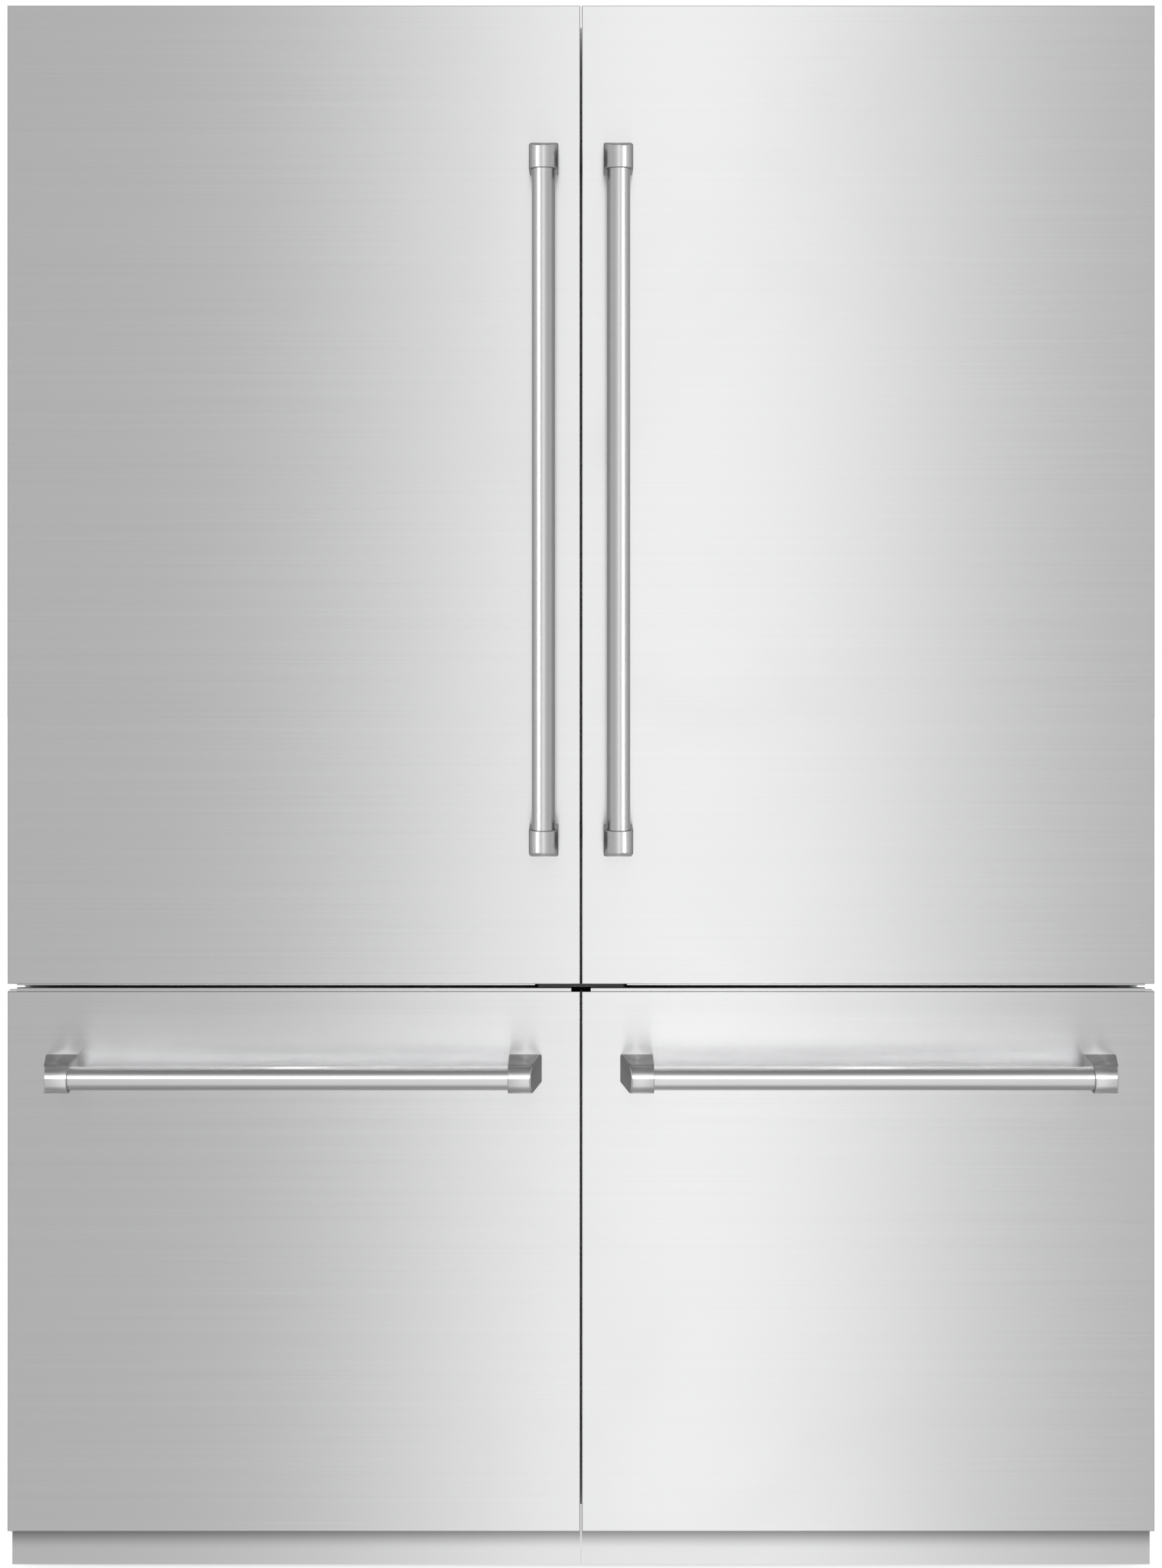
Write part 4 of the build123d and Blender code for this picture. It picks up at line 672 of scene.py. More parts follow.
TO_X = Matrix.Rotation(math.radians(90), 4, "Y")
handle_places = {}
for name in SIDES:
    for kind, axis in (("door", 2), ("drawer", 0)):
        low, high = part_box(f"{name}_{kind}_handle_bar")
        centre = (low + high) / 2
        turn = Matrix.Translation(centre) @ (Matrix.Identity(4) if kind == "door" else TO_X)
        bar_radius = (high.y - low.y) / 2
        mesh = turned_bar(bar_radius, (high - low)[axis])
        replaced = [f"{name}_{kind}_handle_bar"]
        look = upright_satin if kind == "door" else None
        place_piece(f"{name}_{kind}_grip", mesh, "satin_stainless", f"{name}_{kind}", replaced, turn, look)
        handle_places[name, kind] = (centre, bar_radius)
print("bar radius, mm:", round(bar_radius / MM, 2))

# %% [markdown]
# ## Handle brackets
# A bracket is one casting. Its section is a U: flat sides from the door, and a half-round nose about the
# bar. The outer end slants back towards the door and is well rounded, and the inner end is bored to take
# the bar, with a thin lip. It could be cut with booleans, but rings that follow the U keep the rounding
# even all the way round.

# %% Cast the brackets
NOSE_LIP = 4.0 * MM
SLANT = 13.0 * MM
OUTER_ROUND = 2.6 * MM
INNER_ROUND = 1.2 * MM
BORE_CLEAR = 0.5 * MM
BORE_DEPTH = 20.0 * MM
BORE_CHAMFER = 0.6 * MM
BRACKET_LENGTH = 43.0 * MM


def bracket_section(half, reach, inset):
    """The U-shaped section, from the door face around the nose and back."""
    wide = half - inset
    steps = 8
    points = [(wide, reach * (1 - step / steps)) for step in range(steps)]
    for step in range(4 * steps + 1):
        angle = math.pi * step / (4 * steps)
        points.append((wide * math.cos(angle), -wide * math.sin(angle)))
    points += [(-wide, reach * (step + 1) / steps) for step in range(steps)]
    points += [(wide * (2 * step / steps - 1), reach) for step in range(1, steps)]
    return points


def cast_bracket(bar_radius, reach, length):
    """One bracket along +Z about the bar's axis, with its slanted outer end lowest."""
    half = bar_radius + NOSE_LIP
    mesh = bmesh.new()
    rings = []
    for step in range(7):
        angle = math.radians(15 * step)
        inset = OUTER_ROUND * (1 - math.sin(angle))
        rise = OUTER_ROUND * (1 - math.cos(angle))
        ring = bracket_section(half, reach, inset)
        rings.append([(x, y, rise + SLANT * (reach - y) / (reach + half)) for x, y in ring])
    for step in range(4):
        angle = math.radians(30 * step)
        inset = INNER_ROUND * (1 - math.cos(angle))
        lift = length - INNER_ROUND * (1 - math.sin(angle))
        rings.append([(x, y, lift) for x, y in bracket_section(half, reach, inset)])
    bore = bar_radius + BORE_CLEAR
    mouth = ((bore + BORE_CHAMFER, length), (bore, length - BORE_CHAMFER), (bore, length - BORE_DEPTH))
    for radius, lift in mouth:
        ring = []
        for x, y in bracket_section(half, reach, 0):
            angle = math.atan2(y, x)
            ring.append((radius * math.cos(angle), radius * math.sin(angle), lift))
        rings.append(ring)
    loft(mesh, rings)
    return mesh


print("bracket maker ready, slant in mm:", round(SLANT / MM, 1))

# %% Set two brackets on each bar
for (name, kind), (centre, bar_radius) in handle_places.items():
    low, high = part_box(f"{name}_{kind}_handle_brackets")
    reach = high.y - centre.y
    along = 2 if kind == "door" else 0
    for end, tip in (("low", low[along]), ("high", high[along])):
        flip = Matrix.Scale(-1, 4, (0, 0, 1)) if end == "high" else Matrix.Identity(4)
        spot = centre.copy()
        spot[along] = tip
        turn = Matrix.Translation(spot) @ (Matrix.Identity(4) if kind == "door" else TO_X) @ flip
        mesh = cast_bracket(bar_radius, reach, BRACKET_LENGTH)
        replaced = [f"{name}_{kind}_handle_brackets"]
        piece_name = f"{name}_{kind}_bracket_{end}"
        place_piece(piece_name, mesh, "satin_stainless", f"{name}_{kind}", replaced, turn, bracket_finish)
print("bracket reach from bar to door, mm:", round(reach / MM, 1))

# %% [markdown]
# ## Door seals
# Behind each front lies a magnetic seal: an extruded rubber profile with a dart that presses into the door,
# soft bellows, and a flat hollow that holds the magnet strip. It is cut and welded at 45 degrees at the
# corners, so one profile carried round a rectangle gives the whole seal.

# %% Weld the seals
SEAL_PROFILE = [
    (0.10, 0.00), (0.90, 0.00), (1.00, 0.06), (0.92, 0.16), (0.74, 0.22), (0.70, 0.30),
    (0.86, 0.36), (0.92, 0.44), (0.78, 0.52), (0.84, 0.58), (0.97, 0.64), (1.00, 0.76),
    (0.97, 0.94), (0.90, 1.00), (0.10, 1.00), (0.03, 0.94), (0.00, 0.76), (0.03, 0.64),
    (0.16, 0.58), (0.22, 0.52), (0.08, 0.44), (0.14, 0.36), (0.30, 0.30), (0.26, 0.22),
    (0.08, 0.16), (0.00, 0.06),
]
SEAL_WIDTH = 16.0 * MM
SEAL_CORNER = 6.0 * MM

for name in SIDES:
    for kind in ("door", "drawer"):
        low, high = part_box(f"{name}_{kind}_gasket")
        mesh = bmesh.new()
        rings = []
        for share, depth in SEAL_PROFILE:
            inset = share * SEAL_WIDTH
            flat_low, flat_high = (low.x + inset, low.z + inset), (high.x - inset, high.z - inset)
            flat = rounded_rectangle(flat_low, flat_high, max(SEAL_CORNER - inset, 0.3 * MM), 3)
            lift = low.y + depth * (high.y - low.y)
            rings.append([(x, lift, z) for x, z in flat])
        loft(mesh, rings, closed=True)
        place_piece(f"{name}_{kind}_seal", mesh, "gasket_grey", f"{name}_{kind}", [f"{name}_{kind}_gasket"])
print("seal depth, mm:", round((high.y - low.y) / MM, 1))

# %% [markdown]
# ## Tubs: door bins, crispers, basket and tray
# All of these are moulded tubs. A real one narrows towards its floor so that it leaves the mould, has a
# rounded foot, and is stiffened by a rolled lip. One function draws them all, as rings that rise outside,
# turn over the lip and go down inside.

# %% Mould a tub
DRAFT = 5.0 * MM
FOOT_ROUND = 6.0 * MM
LIP_OUT = 2.5 * MM
LIP_DEEP = 7.0 * MM


def moulded_tub(low, high, wall, radius):
    mesh = bmesh.new()
    flat_low, flat_high = (low.x, low.y), (high.x, high.y)
    deep = low.z
    top = high.z
    outside = [
        (DRAFT + FOOT_ROUND, deep), (DRAFT + FOOT_ROUND * 0.3, deep + FOOT_ROUND * 0.3),
        (DRAFT, deep + FOOT_ROUND),
        (LIP_OUT, top - LIP_DEEP), (0.4 * MM, top - LIP_DEEP + 0.6 * MM), (0.0, top - LIP_DEEP + 1.6 * MM),
        (0.0, top - 1.2 * MM), (0.4 * MM, top - 0.4 * MM), (1.2 * MM, top),
    ]
    inside = [
        (LIP_OUT + wall - 1.0 * MM, top), (LIP_OUT + wall, top - 1.0 * MM),
        (DRAFT + wall, deep + FOOT_ROUND + wall),
        (DRAFT + wall + FOOT_ROUND * 0.3, deep + wall + FOOT_ROUND * 0.3),
        (DRAFT + wall + FOOT_ROUND, deep + wall),
    ]
    loft(mesh, [inset_ring(flat_low, flat_high, inset, radius, lift) for inset, lift in outside + inside])
    return mesh


print("tub maker ready, draft in mm:", round(DRAFT / MM, 1))

# %% Door bins and their trim
BIN_COUNT = 4
BIN_HEIGHT = 112.0 * MM
BIN_CORNER = 14.0 * MM
TUB_WALL = 3.0 * MM
TRIM_PROUD = 0.8 * MM
TRIM_CORNER = 2.0 * MM
TRIM_MARGIN = 16 * MM


def trim_bar(low, high, proud):
    """A slim pressed strip with rounded edges, lying on the -Y or +Y face of a lip."""
    mesh = bmesh.new()
    flat_low, flat_high = (low.x, low.z), (high.x, high.z)
    steps = ((0.0, low.y), (0.0, high.y - proud), (proud * 0.4, high.y - proud * 0.3), (proud, high.y))
    loft(mesh, [facing_ring(flat_low, flat_high, inset, TRIM_CORNER, depth) for inset, depth in steps])
    return mesh


for name in SIDES:
    low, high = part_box(f"{name}_door_bins")
    for level, base in enumerate(evenly(low.z, high.z - BIN_HEIGHT, BIN_COUNT), 1):
        bin_low = Vector((low.x, low.y + 3.0 * MM, base))
        bin_high = Vector((high.x, high.y - TRIM_PROUD, base + BIN_HEIGHT))
        mesh = moulded_tub(bin_low, bin_high, TUB_WALL, BIN_CORNER)
        place_piece(f"{name}_door_bin_{level}", mesh, "clear_plastic", f"{name}_door", [f"{name}_door_bins"])
        strip_low = Vector((bin_low.x + TRIM_MARGIN, bin_high.y - 0.3 * MM, bin_high.z - LIP_DEEP + 1.5 * MM))
        strip_high = Vector((bin_high.x - TRIM_MARGIN, high.y, bin_high.z - 1.2 * MM))
        mesh = trim_bar(strip_low, strip_high, TRIM_PROUD * 0.5)
        place_piece(f"{name}_door_bin_trim_{level}", mesh, "satin_stainless", f"{name}_door")
print("bins per door:", BIN_COUNT)

# %% Freezer trays and crispers
CRISPER_COUNT = 2
CRISPER_HEIGHT = 132.0 * MM
CRISPER_GRIP_MARGIN = 0.17
TRAY_CORNER = 16.0 * MM

for name, side in SIDES.items():
    low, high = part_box(f"{name}_drawer_tray")
    mesh = moulded_tub(low, high, TUB_WALL, TRAY_CORNER)
    place_piece(f"{name}_sliding_tray", mesh, "freezer_plastic", f"{name}_tray", [f"{name}_drawer_tray"])
    low, high = half_box("crispers", side)
    for level, base in enumerate(evenly(low.z, high.z - CRISPER_HEIGHT, CRISPER_COUNT), 1):
        tub_low = Vector((low.x, low.y + 4 * MM, base))
        tub_high = Vector((high.x, high.y, base + CRISPER_HEIGHT))
        mesh = moulded_tub(tub_low, tub_high, TUB_WALL, BIN_CORNER)
        place_piece(f"{name}_crisper_{level}", mesh, "clear_plastic", "cabinet", ["crispers"])
        grip_low = Vector((low.x + CRISPER_GRIP_MARGIN, low.y + 0.5 * MM, tub_high.z - 20 * MM))
        grip_high = Vector((high.x - CRISPER_GRIP_MARGIN, low.y + 5.5 * MM, tub_high.z - 2 * MM))
        mesh = trim_bar(grip_low, grip_high, 1.2 * MM)
        place_piece(f"{name}_crisper_grip_{level}", mesh, "shelf_trim", "cabinet")
print("crispers per column:", CRISPER_COUNT)

# %% Freezer baskets
RIM_THICK = 5.0 * MM
BASKET_CORNER = 12 * MM


def rectangle_ring(low, high, inset_x, inset_y, radius, lift):
    """A rounded rectangle drawn in by a different amount along X and along Y."""
    flat_low, flat_high = (low.x + inset_x, low.y + inset_y), (high.x - inset_x, high.y - inset_y)
    return [(x, y, lift) for x, y in rounded_rectangle(flat_low, flat_high, radius)]


def left_edge_below(node, height):
    """Lowest X of the part of a node that lies under a height."""
    return min(v.co.x for v in nodes[node].data.vertices if v.co.z < height)


for name in SIDES:
    node = f"{name}_drawer_basket"
    low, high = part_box(node)
    step = left_edge_below(node, low.z + 0.1) - low.x
    wall = TUB_WALL
    profile = [
        (step + 14 * MM, 12 * MM, low.z), (step + 8 * MM, 6 * MM, low.z + 2 * MM),
        (step + 5 * MM, 4 * MM, low.z + 8 * MM), (step, 1 * MM, high.z - RIM_THICK),
        (0.8 * MM, 0.3 * MM, high.z - RIM_THICK), (0.0, 0.0, high.z - 4.2 * MM),
        (0.0, 0.0, high.z - 0.8 * MM), (0.8 * MM, 0.8 * MM, high.z), (step + wall - 1 * MM, wall, high.z),
        (step + wall, wall + 1 * MM, high.z - 1 * MM), (step + 5 * MM + wall, 4 * MM + wall, low.z + 11 * MM),
        (step + 8 * MM + wall, 6 * MM + wall, low.z + 5 * MM), (step + 14 * MM, 12 * MM, low.z + wall),
    ]
    mesh = bmesh.new()
    loft(mesh, [rectangle_ring(low, high, x, y, BASKET_CORNER, lift) for x, y, lift in profile])
    place_piece(f"{name}_freezer_basket", mesh, "freezer_plastic", f"{name}_drawer", [node])
print("basket rim step, mm:", round(step / MM, 1))

# %% [markdown]
# ## Inner faces of the fronts
# The inner face of each front is vacuum-formed. Just inside the seal it rises in a rounded bead, which
# keeps cold air off the seal and stiffens the sheet. The bead is one profile carried round a rectangle,
# like the seal.

# %% Form the beads
BEAD_WIDTH = 12.0 * MM
BEAD_RISE = 6.5 * MM
BEAD_GAP = 1.5 * MM
BEAD_CORNER = 18 * MM


def formed_bead(low, high, base, rise, width, radius):
    """A round-backed ring that stands on a face at Y = base and rises towards +Y."""
    mesh = bmesh.new()
    rings = []
    for step in range(9):
        angle = math.pi * step / 8
        inset = width / 2 * (1 - math.cos(angle))
        flat_low, flat_high = (low[0] + inset, low[1] + inset), (high[0] - inset, high[1] - inset)
        flat = rounded_rectangle(flat_low, flat_high, radius - inset)
        rings.append([(x, base + rise * math.sin(angle), z) for x, z in flat])
    loft(mesh, rings, closed=True)
    return mesh


for name in SIDES:
    for kind in ("door", "drawer"):
        low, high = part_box(f"{name}_{kind}_gasket")
        edge = SEAL_WIDTH + BEAD_GAP
        flat_low, flat_high = (low.x + edge, low.z + edge), (high.x - edge, high.z - edge)
        mesh = formed_bead(flat_low, flat_high, low.y - 0.2 * MM, BEAD_RISE, BEAD_WIDTH, BEAD_CORNER)
        place_piece(f"{name}_{kind}_liner_bead", mesh, "liner_white", f"{name}_{kind}")
print("bead height, mm:", round(BEAD_RISE / MM, 1))

# %% Pressed panel on each drawer's inner face
PRESSED_CORNER = 26 * MM
PRESSED_SIDE_MARGIN = 0.055
PRESSED_END_MARGIN = 0.045

for name in SIDES:
    low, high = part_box(f"{name}_drawer_gasket")
    mesh = bmesh.new()
    flat_low = (low.x + PRESSED_SIDE_MARGIN, low.z + PRESSED_END_MARGIN)
    flat_high = (high.x - PRESSED_SIDE_MARGIN, high.z - PRESSED_END_MARGIN)
    rings = []
    for inset, rise in ((0.0, -0.2), (0.6, 2.0), (2.0, 4.2), (4.5, 5.5), (8.0, 6.0), (60.0, 6.0)):
        rings.append(facing_ring(flat_low, flat_high, inset * MM, PRESSED_CORNER, low.y + rise * MM))
    loft(mesh, rings)
    place_piece(f"{name}_drawer_inner_panel", mesh, "liner_white", f"{name}_drawer")
print("drawer inner panels pressed")

# %% [markdown]
# ## Strips in the gaps
# Steel caps run along the top of each drawer and under each door, just behind the panels, so the gap
# between them shows metal and only a thin line of shadow. A pale moulded strip closes the seam where the
# two cabinets meet. It is in two lengths, because the bracket that joins the cabinets sits between them.

# %% Cap the drawers and the doors
CAP_RISE = 4.5 * MM
CAP_SETBACK = 3.0 * MM
CAP_DEPTH = 6.5 * MM
CAP_ROUND = 1.6 * MM
CAP_END = 12.0 * MM
DOOR_CAP_DROP = 2.4 * MM
DOOR_CAP_DEPTH = 4.0 * MM
CENTRE_CLEAR = 61.0 * MM
DOOR_CAP_ROUND = 1.0 * MM


def drawn_strip(profile, start, end):
    """A solid strip with one (Y, Z) profile, drawn from one X to another."""
    mesh = bmesh.new()
    loft(mesh, [[(x, y, z) for y, z in profile] for x in evenly(start, end, 2)])
    return mesh


for name, side in SIDES.items():
    low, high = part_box(f"{name}_drawer_panel")
    front = low.y + CAP_SETBACK
    root = high.z - 0.2 * MM
    top = high.z + CAP_RISE
    profile = [(front + CAP_DEPTH, root), (front, root)]
    for step in range(6):
        angle = math.radians(18 * step)
        profile.append((front + CAP_ROUND * (1 - math.cos(angle)), top - CAP_ROUND * (1 - math.sin(angle))))
    profile.append((front + CAP_DEPTH, top))
    mesh = drawn_strip(profile, low.x + CAP_END, high.x - CAP_END)
    place_piece(f"{name}_drawer_cap", mesh, "brushed_stainless", f"{name}_drawer")
    low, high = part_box(f"{name}_door_panel")
    foot = low.z - DOOR_CAP_DROP
    profile = [(front + DOOR_CAP_DEPTH, low.z + 0.2 * MM), (front, low.z + 0.2 * MM)]
    for step in range(6):
        angle = math.radians(18 * step)
        back, up = DOOR_CAP_ROUND * (1 - math.cos(angle)), DOOR_CAP_ROUND * (1 - math.sin(angle))
        profile.append((front + back, foot + up))
    profile.append((front + DOOR_CAP_DEPTH, foot))
    inner, outer = sorted((low.x, high.x), key=abs)
    start, end = sorted((side * CENTRE_CLEAR, outer - side * CAP_END))
    place_piece(f"{name}_door_cap", drawn_strip(profile, start, end), "brushed_stainless", f"{name}_door")
print("cap rise, mm:", round(CAP_RISE / MM, 1))

# %% Close the seam
SEAM_HALF = 1.8 * MM
SEAM_DEPTH = 8.0 * MM
SEAM_NOSE = 0.8 * MM
SEAM_FOOT = 0.065
JOINER_LOW = 0.7595
JOINER_HIGH = 0.7805
SEAM_TOP_GAP = 0.004

case_low, case_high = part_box("outer_cases")
stretches = ((SEAM_FOOT, JOINER_LOW), (JOINER_HIGH, case_high.z - SEAM_TOP_GAP))
for level, (start, end) in enumerate(stretches, 1):
    mesh = bmesh.new()
    ring = [(-SEAM_HALF, start), (SEAM_HALF, start), (SEAM_HALF, end), (-SEAM_HALF, end)]
    nose = [(x * 0.6, z) for x, z in ring]
    tip = case_low.y - SEAM_DEPTH
    depths = ((case_low.y + 0.2 * MM, ring), (tip + SEAM_NOSE, ring), (tip, nose))
    loft(mesh, [[(x, y, z) for x, z in flat] for y, flat in depths])
    place_piece(f"seam_strip_{level}", mesh, "shelf_trim", "cabinet")
print("seam strip stands forward by, mm:", round(SEAM_DEPTH / MM, 1))

# %% [markdown]
# ## Shelf trims and controls
# Each glass shelf has a slim metal strip along its front. The controls hang from the fridge ceiling: a
# black strip with five lit touch points, left unlabelled.

# %% Trim the shelves and finish the controls
SHELF_COUNT = 4
SHELF_EDGE = 12.0 * MM
STRIP_CORNER = 2.5 * MM
POINT_RADIUS = 2.6 * MM
POINT_COUNT = 5
TRIM_THICK = 1.6 * MM
GLASS_THICK = 1.2 * MM


def front_strip(low, high, proud):
    """A strip with its rounded face towards -Y."""
    mesh = bmesh.new()
    flat_low, flat_high = (low.x, low.z), (high.x, high.z)
    steps = ((0.0, high.y), (0.0, low.y + proud), (proud * 0.4, low.y + proud * 0.3), (proud, low.y))
    loft(mesh, [facing_ring(flat_low, flat_high, inset, STRIP_CORNER, depth) for inset, depth in steps])
    return mesh


for name, side in SIDES.items():
    low, high = half_box("shelf_frames", side)
    for level, base in enumerate(evenly(low.z, high.z - SHELF_EDGE, SHELF_COUNT), 1):
        strip_low = Vector((low.x + 4 * MM, low.y - TRIM_THICK, base + 0.5 * MM))
        strip_high = Vector((high.x - 4 * MM, low.y + 0.2 * MM, base + SHELF_EDGE - 0.5 * MM))
        mesh = front_strip(strip_low, strip_high, 0.6 * MM)
        place_piece(f"{name}_shelf_trim_{level}", mesh, "satin_stainless", "cabinet")
    low, high = half_box("control_panels", side)
    strip_low = Vector((low.x + 4 * MM, low.y - GLASS_THICK, low.z + 1.5 * MM))
    strip_high = Vector((high.x - 4 * MM, low.y + 0.2 * MM, high.z - 1.5 * MM))
    mesh = front_strip(strip_low, strip_high, 0.5 * MM)
    place_piece(f"{name}_control_glass", mesh, "black_plastic", "cabinet")
    mesh = bmesh.new()
    for x in evenly(low.x + 50 * MM, high.x - 50 * MM, POINT_COUNT):
        ring = [(x + px, (low.z + high.z) / 2 + pz) for px, pz, _ in circle(POINT_RADIUS, 0, 20)]
        loft(mesh, [[(px, low.y - proud, pz) for px, pz in ring] for proud in (1.0 * MM, 1.6 * MM)])
    place_piece(f"{name}_control_points", mesh, "light_lens", "cabinet")
print("shelves trimmed per column:", SHELF_COUNT)

# %% [markdown]
# ## Back sheets
# The back of each cabinet is a galvanised sheet with a folded rim, long swages pressed into it so that it
# does not drum, and a row of screws. Nothing here stands out further than the rim, so the pair can go flat
# on a wall.

# %% Screw heads
RIM_WIDTH = 7.0 * MM
FIELD_DROP = 1.25 * MM
SHEET_CORNER = 5 * MM
SWAGE_COUNT = 5
SWAGE_TALL = 0.05
SWAGE_MARGIN = 0.09
SWAGE_CORNER = 24 * MM
SCREW_HEAD_RADIUS = 4.5 * MM
SCREW_HEAD_TALL = 1.2 * MM
HEAD_POINTS = 24


def pan_head(mesh, x, y, z, radius, height):
    """A screw head facing +Y, with a six-sided drive recess, added to a mesh."""
    profile = [(1.0, 0.0), (1.0, 0.45), (0.86, 0.85), (0.60, 1.0)]
    rings = []
    for share, rise in profile:
        ring = circle(radius * share, 0, HEAD_POINTS)
        rings.append([(x + px, y + height * rise, z + pz) for px, pz, _ in ring])
    for share, rise in ((0.38, 1.0), (0.34, 0.35)):
        ring = []
        for index in range(HEAD_POINTS):
            angle = 2 * math.pi * index / HEAD_POINTS
            wave = radius * share * (1 + 0.14 * math.cos(6 * angle))
            ring.append((x + wave * math.cos(angle), y + height * rise, z + wave * math.sin(angle)))
        rings.append(ring)
    loft(mesh, rings)


print("screw head maker ready, head radius in mm:", round(SCREW_HEAD_RADIUS / MM, 1))

# %% Press the back sheets
for name, side in SIDES.items():
    low, high = half_box("back_panels", side)
    flat_low, flat_high = (low.x, low.z), (high.x, high.z)
    field = high.y - FIELD_DROP
    mesh = bmesh.new()
    steps = [
        (0.0, low.y), (0.0, high.y - 0.4 * MM), (0.4 * MM, high.y), (RIM_WIDTH, high.y),
        (RIM_WIDTH + 2 * MM, field), (0.12, field),
    ]
    loft(mesh, [facing_ring(flat_low, flat_high, inset, SHEET_CORNER, depth) for inset, depth in steps])
    place_piece(f"{name}_back_sheet", mesh, "zinc_sheet", "cabinet", ["back_panels"])
    mesh = bmesh.new()
    for base in evenly(low.z + 0.13, high.z - 0.20, SWAGE_COUNT):
        swage_low, swage_high = (low.x + SWAGE_MARGIN, base), (high.x - SWAGE_MARGIN, base + SWAGE_TALL)
        rings = []
        for inset, rise in ((0.0, -0.2), (1.5, 0.35), (4.0, 0.85), (8.0, 1.05), (20.0, 1.05)):
            rings.append(facing_ring(swage_low, swage_high, inset * MM, SWAGE_CORNER, field + rise * MM))
        loft(mesh, rings)
    place_piece(f"{name}_back_swages", mesh, "zinc_sheet", "cabinet")
    mesh = bmesh.new()
    for z in evenly(low.z + 0.03, high.z - 0.03, 9):
        for x in (low.x + 20 * MM, high.x - 20 * MM):
            pan_head(mesh, x, field - 0.1 * MM, z, SCREW_HEAD_RADIUS, SCREW_HEAD_TALL)
    for x in evenly(low.x + 0.14, high.x - 0.14, 4):
        for z in (low.z + 20 * MM, high.z - 20 * MM):
            pan_head(mesh, x, field - 0.1 * MM, z, SCREW_HEAD_RADIUS, SCREW_HEAD_TALL)
    place_piece(f"{name}_back_screws", mesh, "zinc_steel", "cabinet")
print("back sheets pressed, swages each:", SWAGE_COUNT)

# %% [markdown]
# ## Machine covers
# The lower back cover is louvred, so the condenser can breathe. A press tool cuts each slot and bulges a
# small hood over it. The covers sit back from the rim, which leaves room for hoods and for taller screw
# heads.

# %% Bulge the louvres
LOUVRE_ROWS = 4
LOUVRE_COLUMNS = 9
LOUVRE_HALF = 25.0 * MM
LOUVRE_DEEP = 5.5 * MM
LOUVRE_TALL = 13.0 * MM
LOUVRE_SKIN = 0.8 * MM
COVER_HEAD_RADIUS = 5.0 * MM
COVER_HEAD_TALL = 2.6 * MM


def louvre(mesh, x, y, z):
    """One hood, open at its lower side, swept along X and closed at both ends."""
    rings = []
    for step in range(13):
        along = -1 + 2 * step / 12
        size = max(1 - abs(along) ** 5, 0.0) ** 0.5
        deep = 0.35 * MM + LOUVRE_DEEP * size
        outer = []
        inner = []
        for part in range(6):
            angle = math.pi / 2 * part / 5
            outer.append((math.sin(angle) * deep, math.cos(angle) * LOUVRE_TALL))
            thin = max(deep - LOUVRE_SKIN, 0.1 * MM)
            inner.append((math.sin(angle) * thin, math.cos(angle) * (LOUVRE_TALL - LOUVRE_SKIN)))
        profile = outer + inner[::-1]
        rings.append([(x + along * LOUVRE_HALF, y + dy, z + dz) for dy, dz in profile])
    loft(mesh, rings)


VENT_X = (0.106, 0.649)
VENT_Z = (0.108, 0.198)
for name, side in SIDES.items():
    low, high = half_box("machine_covers", side)
    mesh = bmesh.new()
    for z in evenly(*VENT_Z, LOUVRE_ROWS):
        for x in evenly(*VENT_X, LOUVRE_COLUMNS):
            louvre(mesh, side * x, high.y - 0.2 * MM, z)
    place_piece(f"{name}_cover_louvres", mesh, "zinc_sheet", "cabinet")
    mesh = bmesh.new()
    for x in evenly(low.x + 14 * MM, high.x - 14 * MM, 5):
        for z in (low.z + 10 * MM, high.z - 10 * MM):
            pan_head(mesh, x, high.y - 0.1 * MM, z, COVER_HEAD_RADIUS, COVER_HEAD_TALL)
    place_piece(f"{name}_cover_screws", mesh, "zinc_steel", "cabinet")
print("louvres per cover:", LOUVRE_ROWS * LOUVRE_COLUMNS)

# %% [markdown]
# ## Outside of the cabinets
# The case sides carry two long pressed ribs, and a dark trim covers the raw front edge of each case. On top
# sits the shallow cover of the wiring box, behind the joinery brackets.

# %% Ribs, trims and wiring covers
RIB_STARTS = (-0.06, 0.17)
RIB_WIDTH = 0.03
RIB_MARGIN = 0.14
RIB_PROUD = 1.6 * MM
EDGE_TRIM_PROUD = 2.2 * MM
EDGE_TRIM_WIDTH = 15 * MM
STRIP_ROUND = 8 * MM
ROOT = 0.2 * MM
WIRING_MIDDLE = 0.38
WIRING_HALF = 0.15
WIRING_FRONT = -0.01
WIRING_BACK = 0.17


def side_strip(low, high, side, proud):
    """A strip on a cabinet's outer side, with its rounded face outwards."""
    mesh = bmesh.new()
    face, root = (high.x, low.x) if side > 0 else (low.x, high.x)
    rings = []
    for inset, share in ((0.0, 0.0), (0.0, 0.45), (proud * 0.5, 0.85), (proud * 1.4, 1.0)):
        ring = inset_ring((low.y, low.z), (high.y, high.z), inset, STRIP_ROUND, 0)
        rings.append([(root + (face - root) * share, y, z) for y, z, _ in ring])
    loft(mesh, rings)
    return mesh


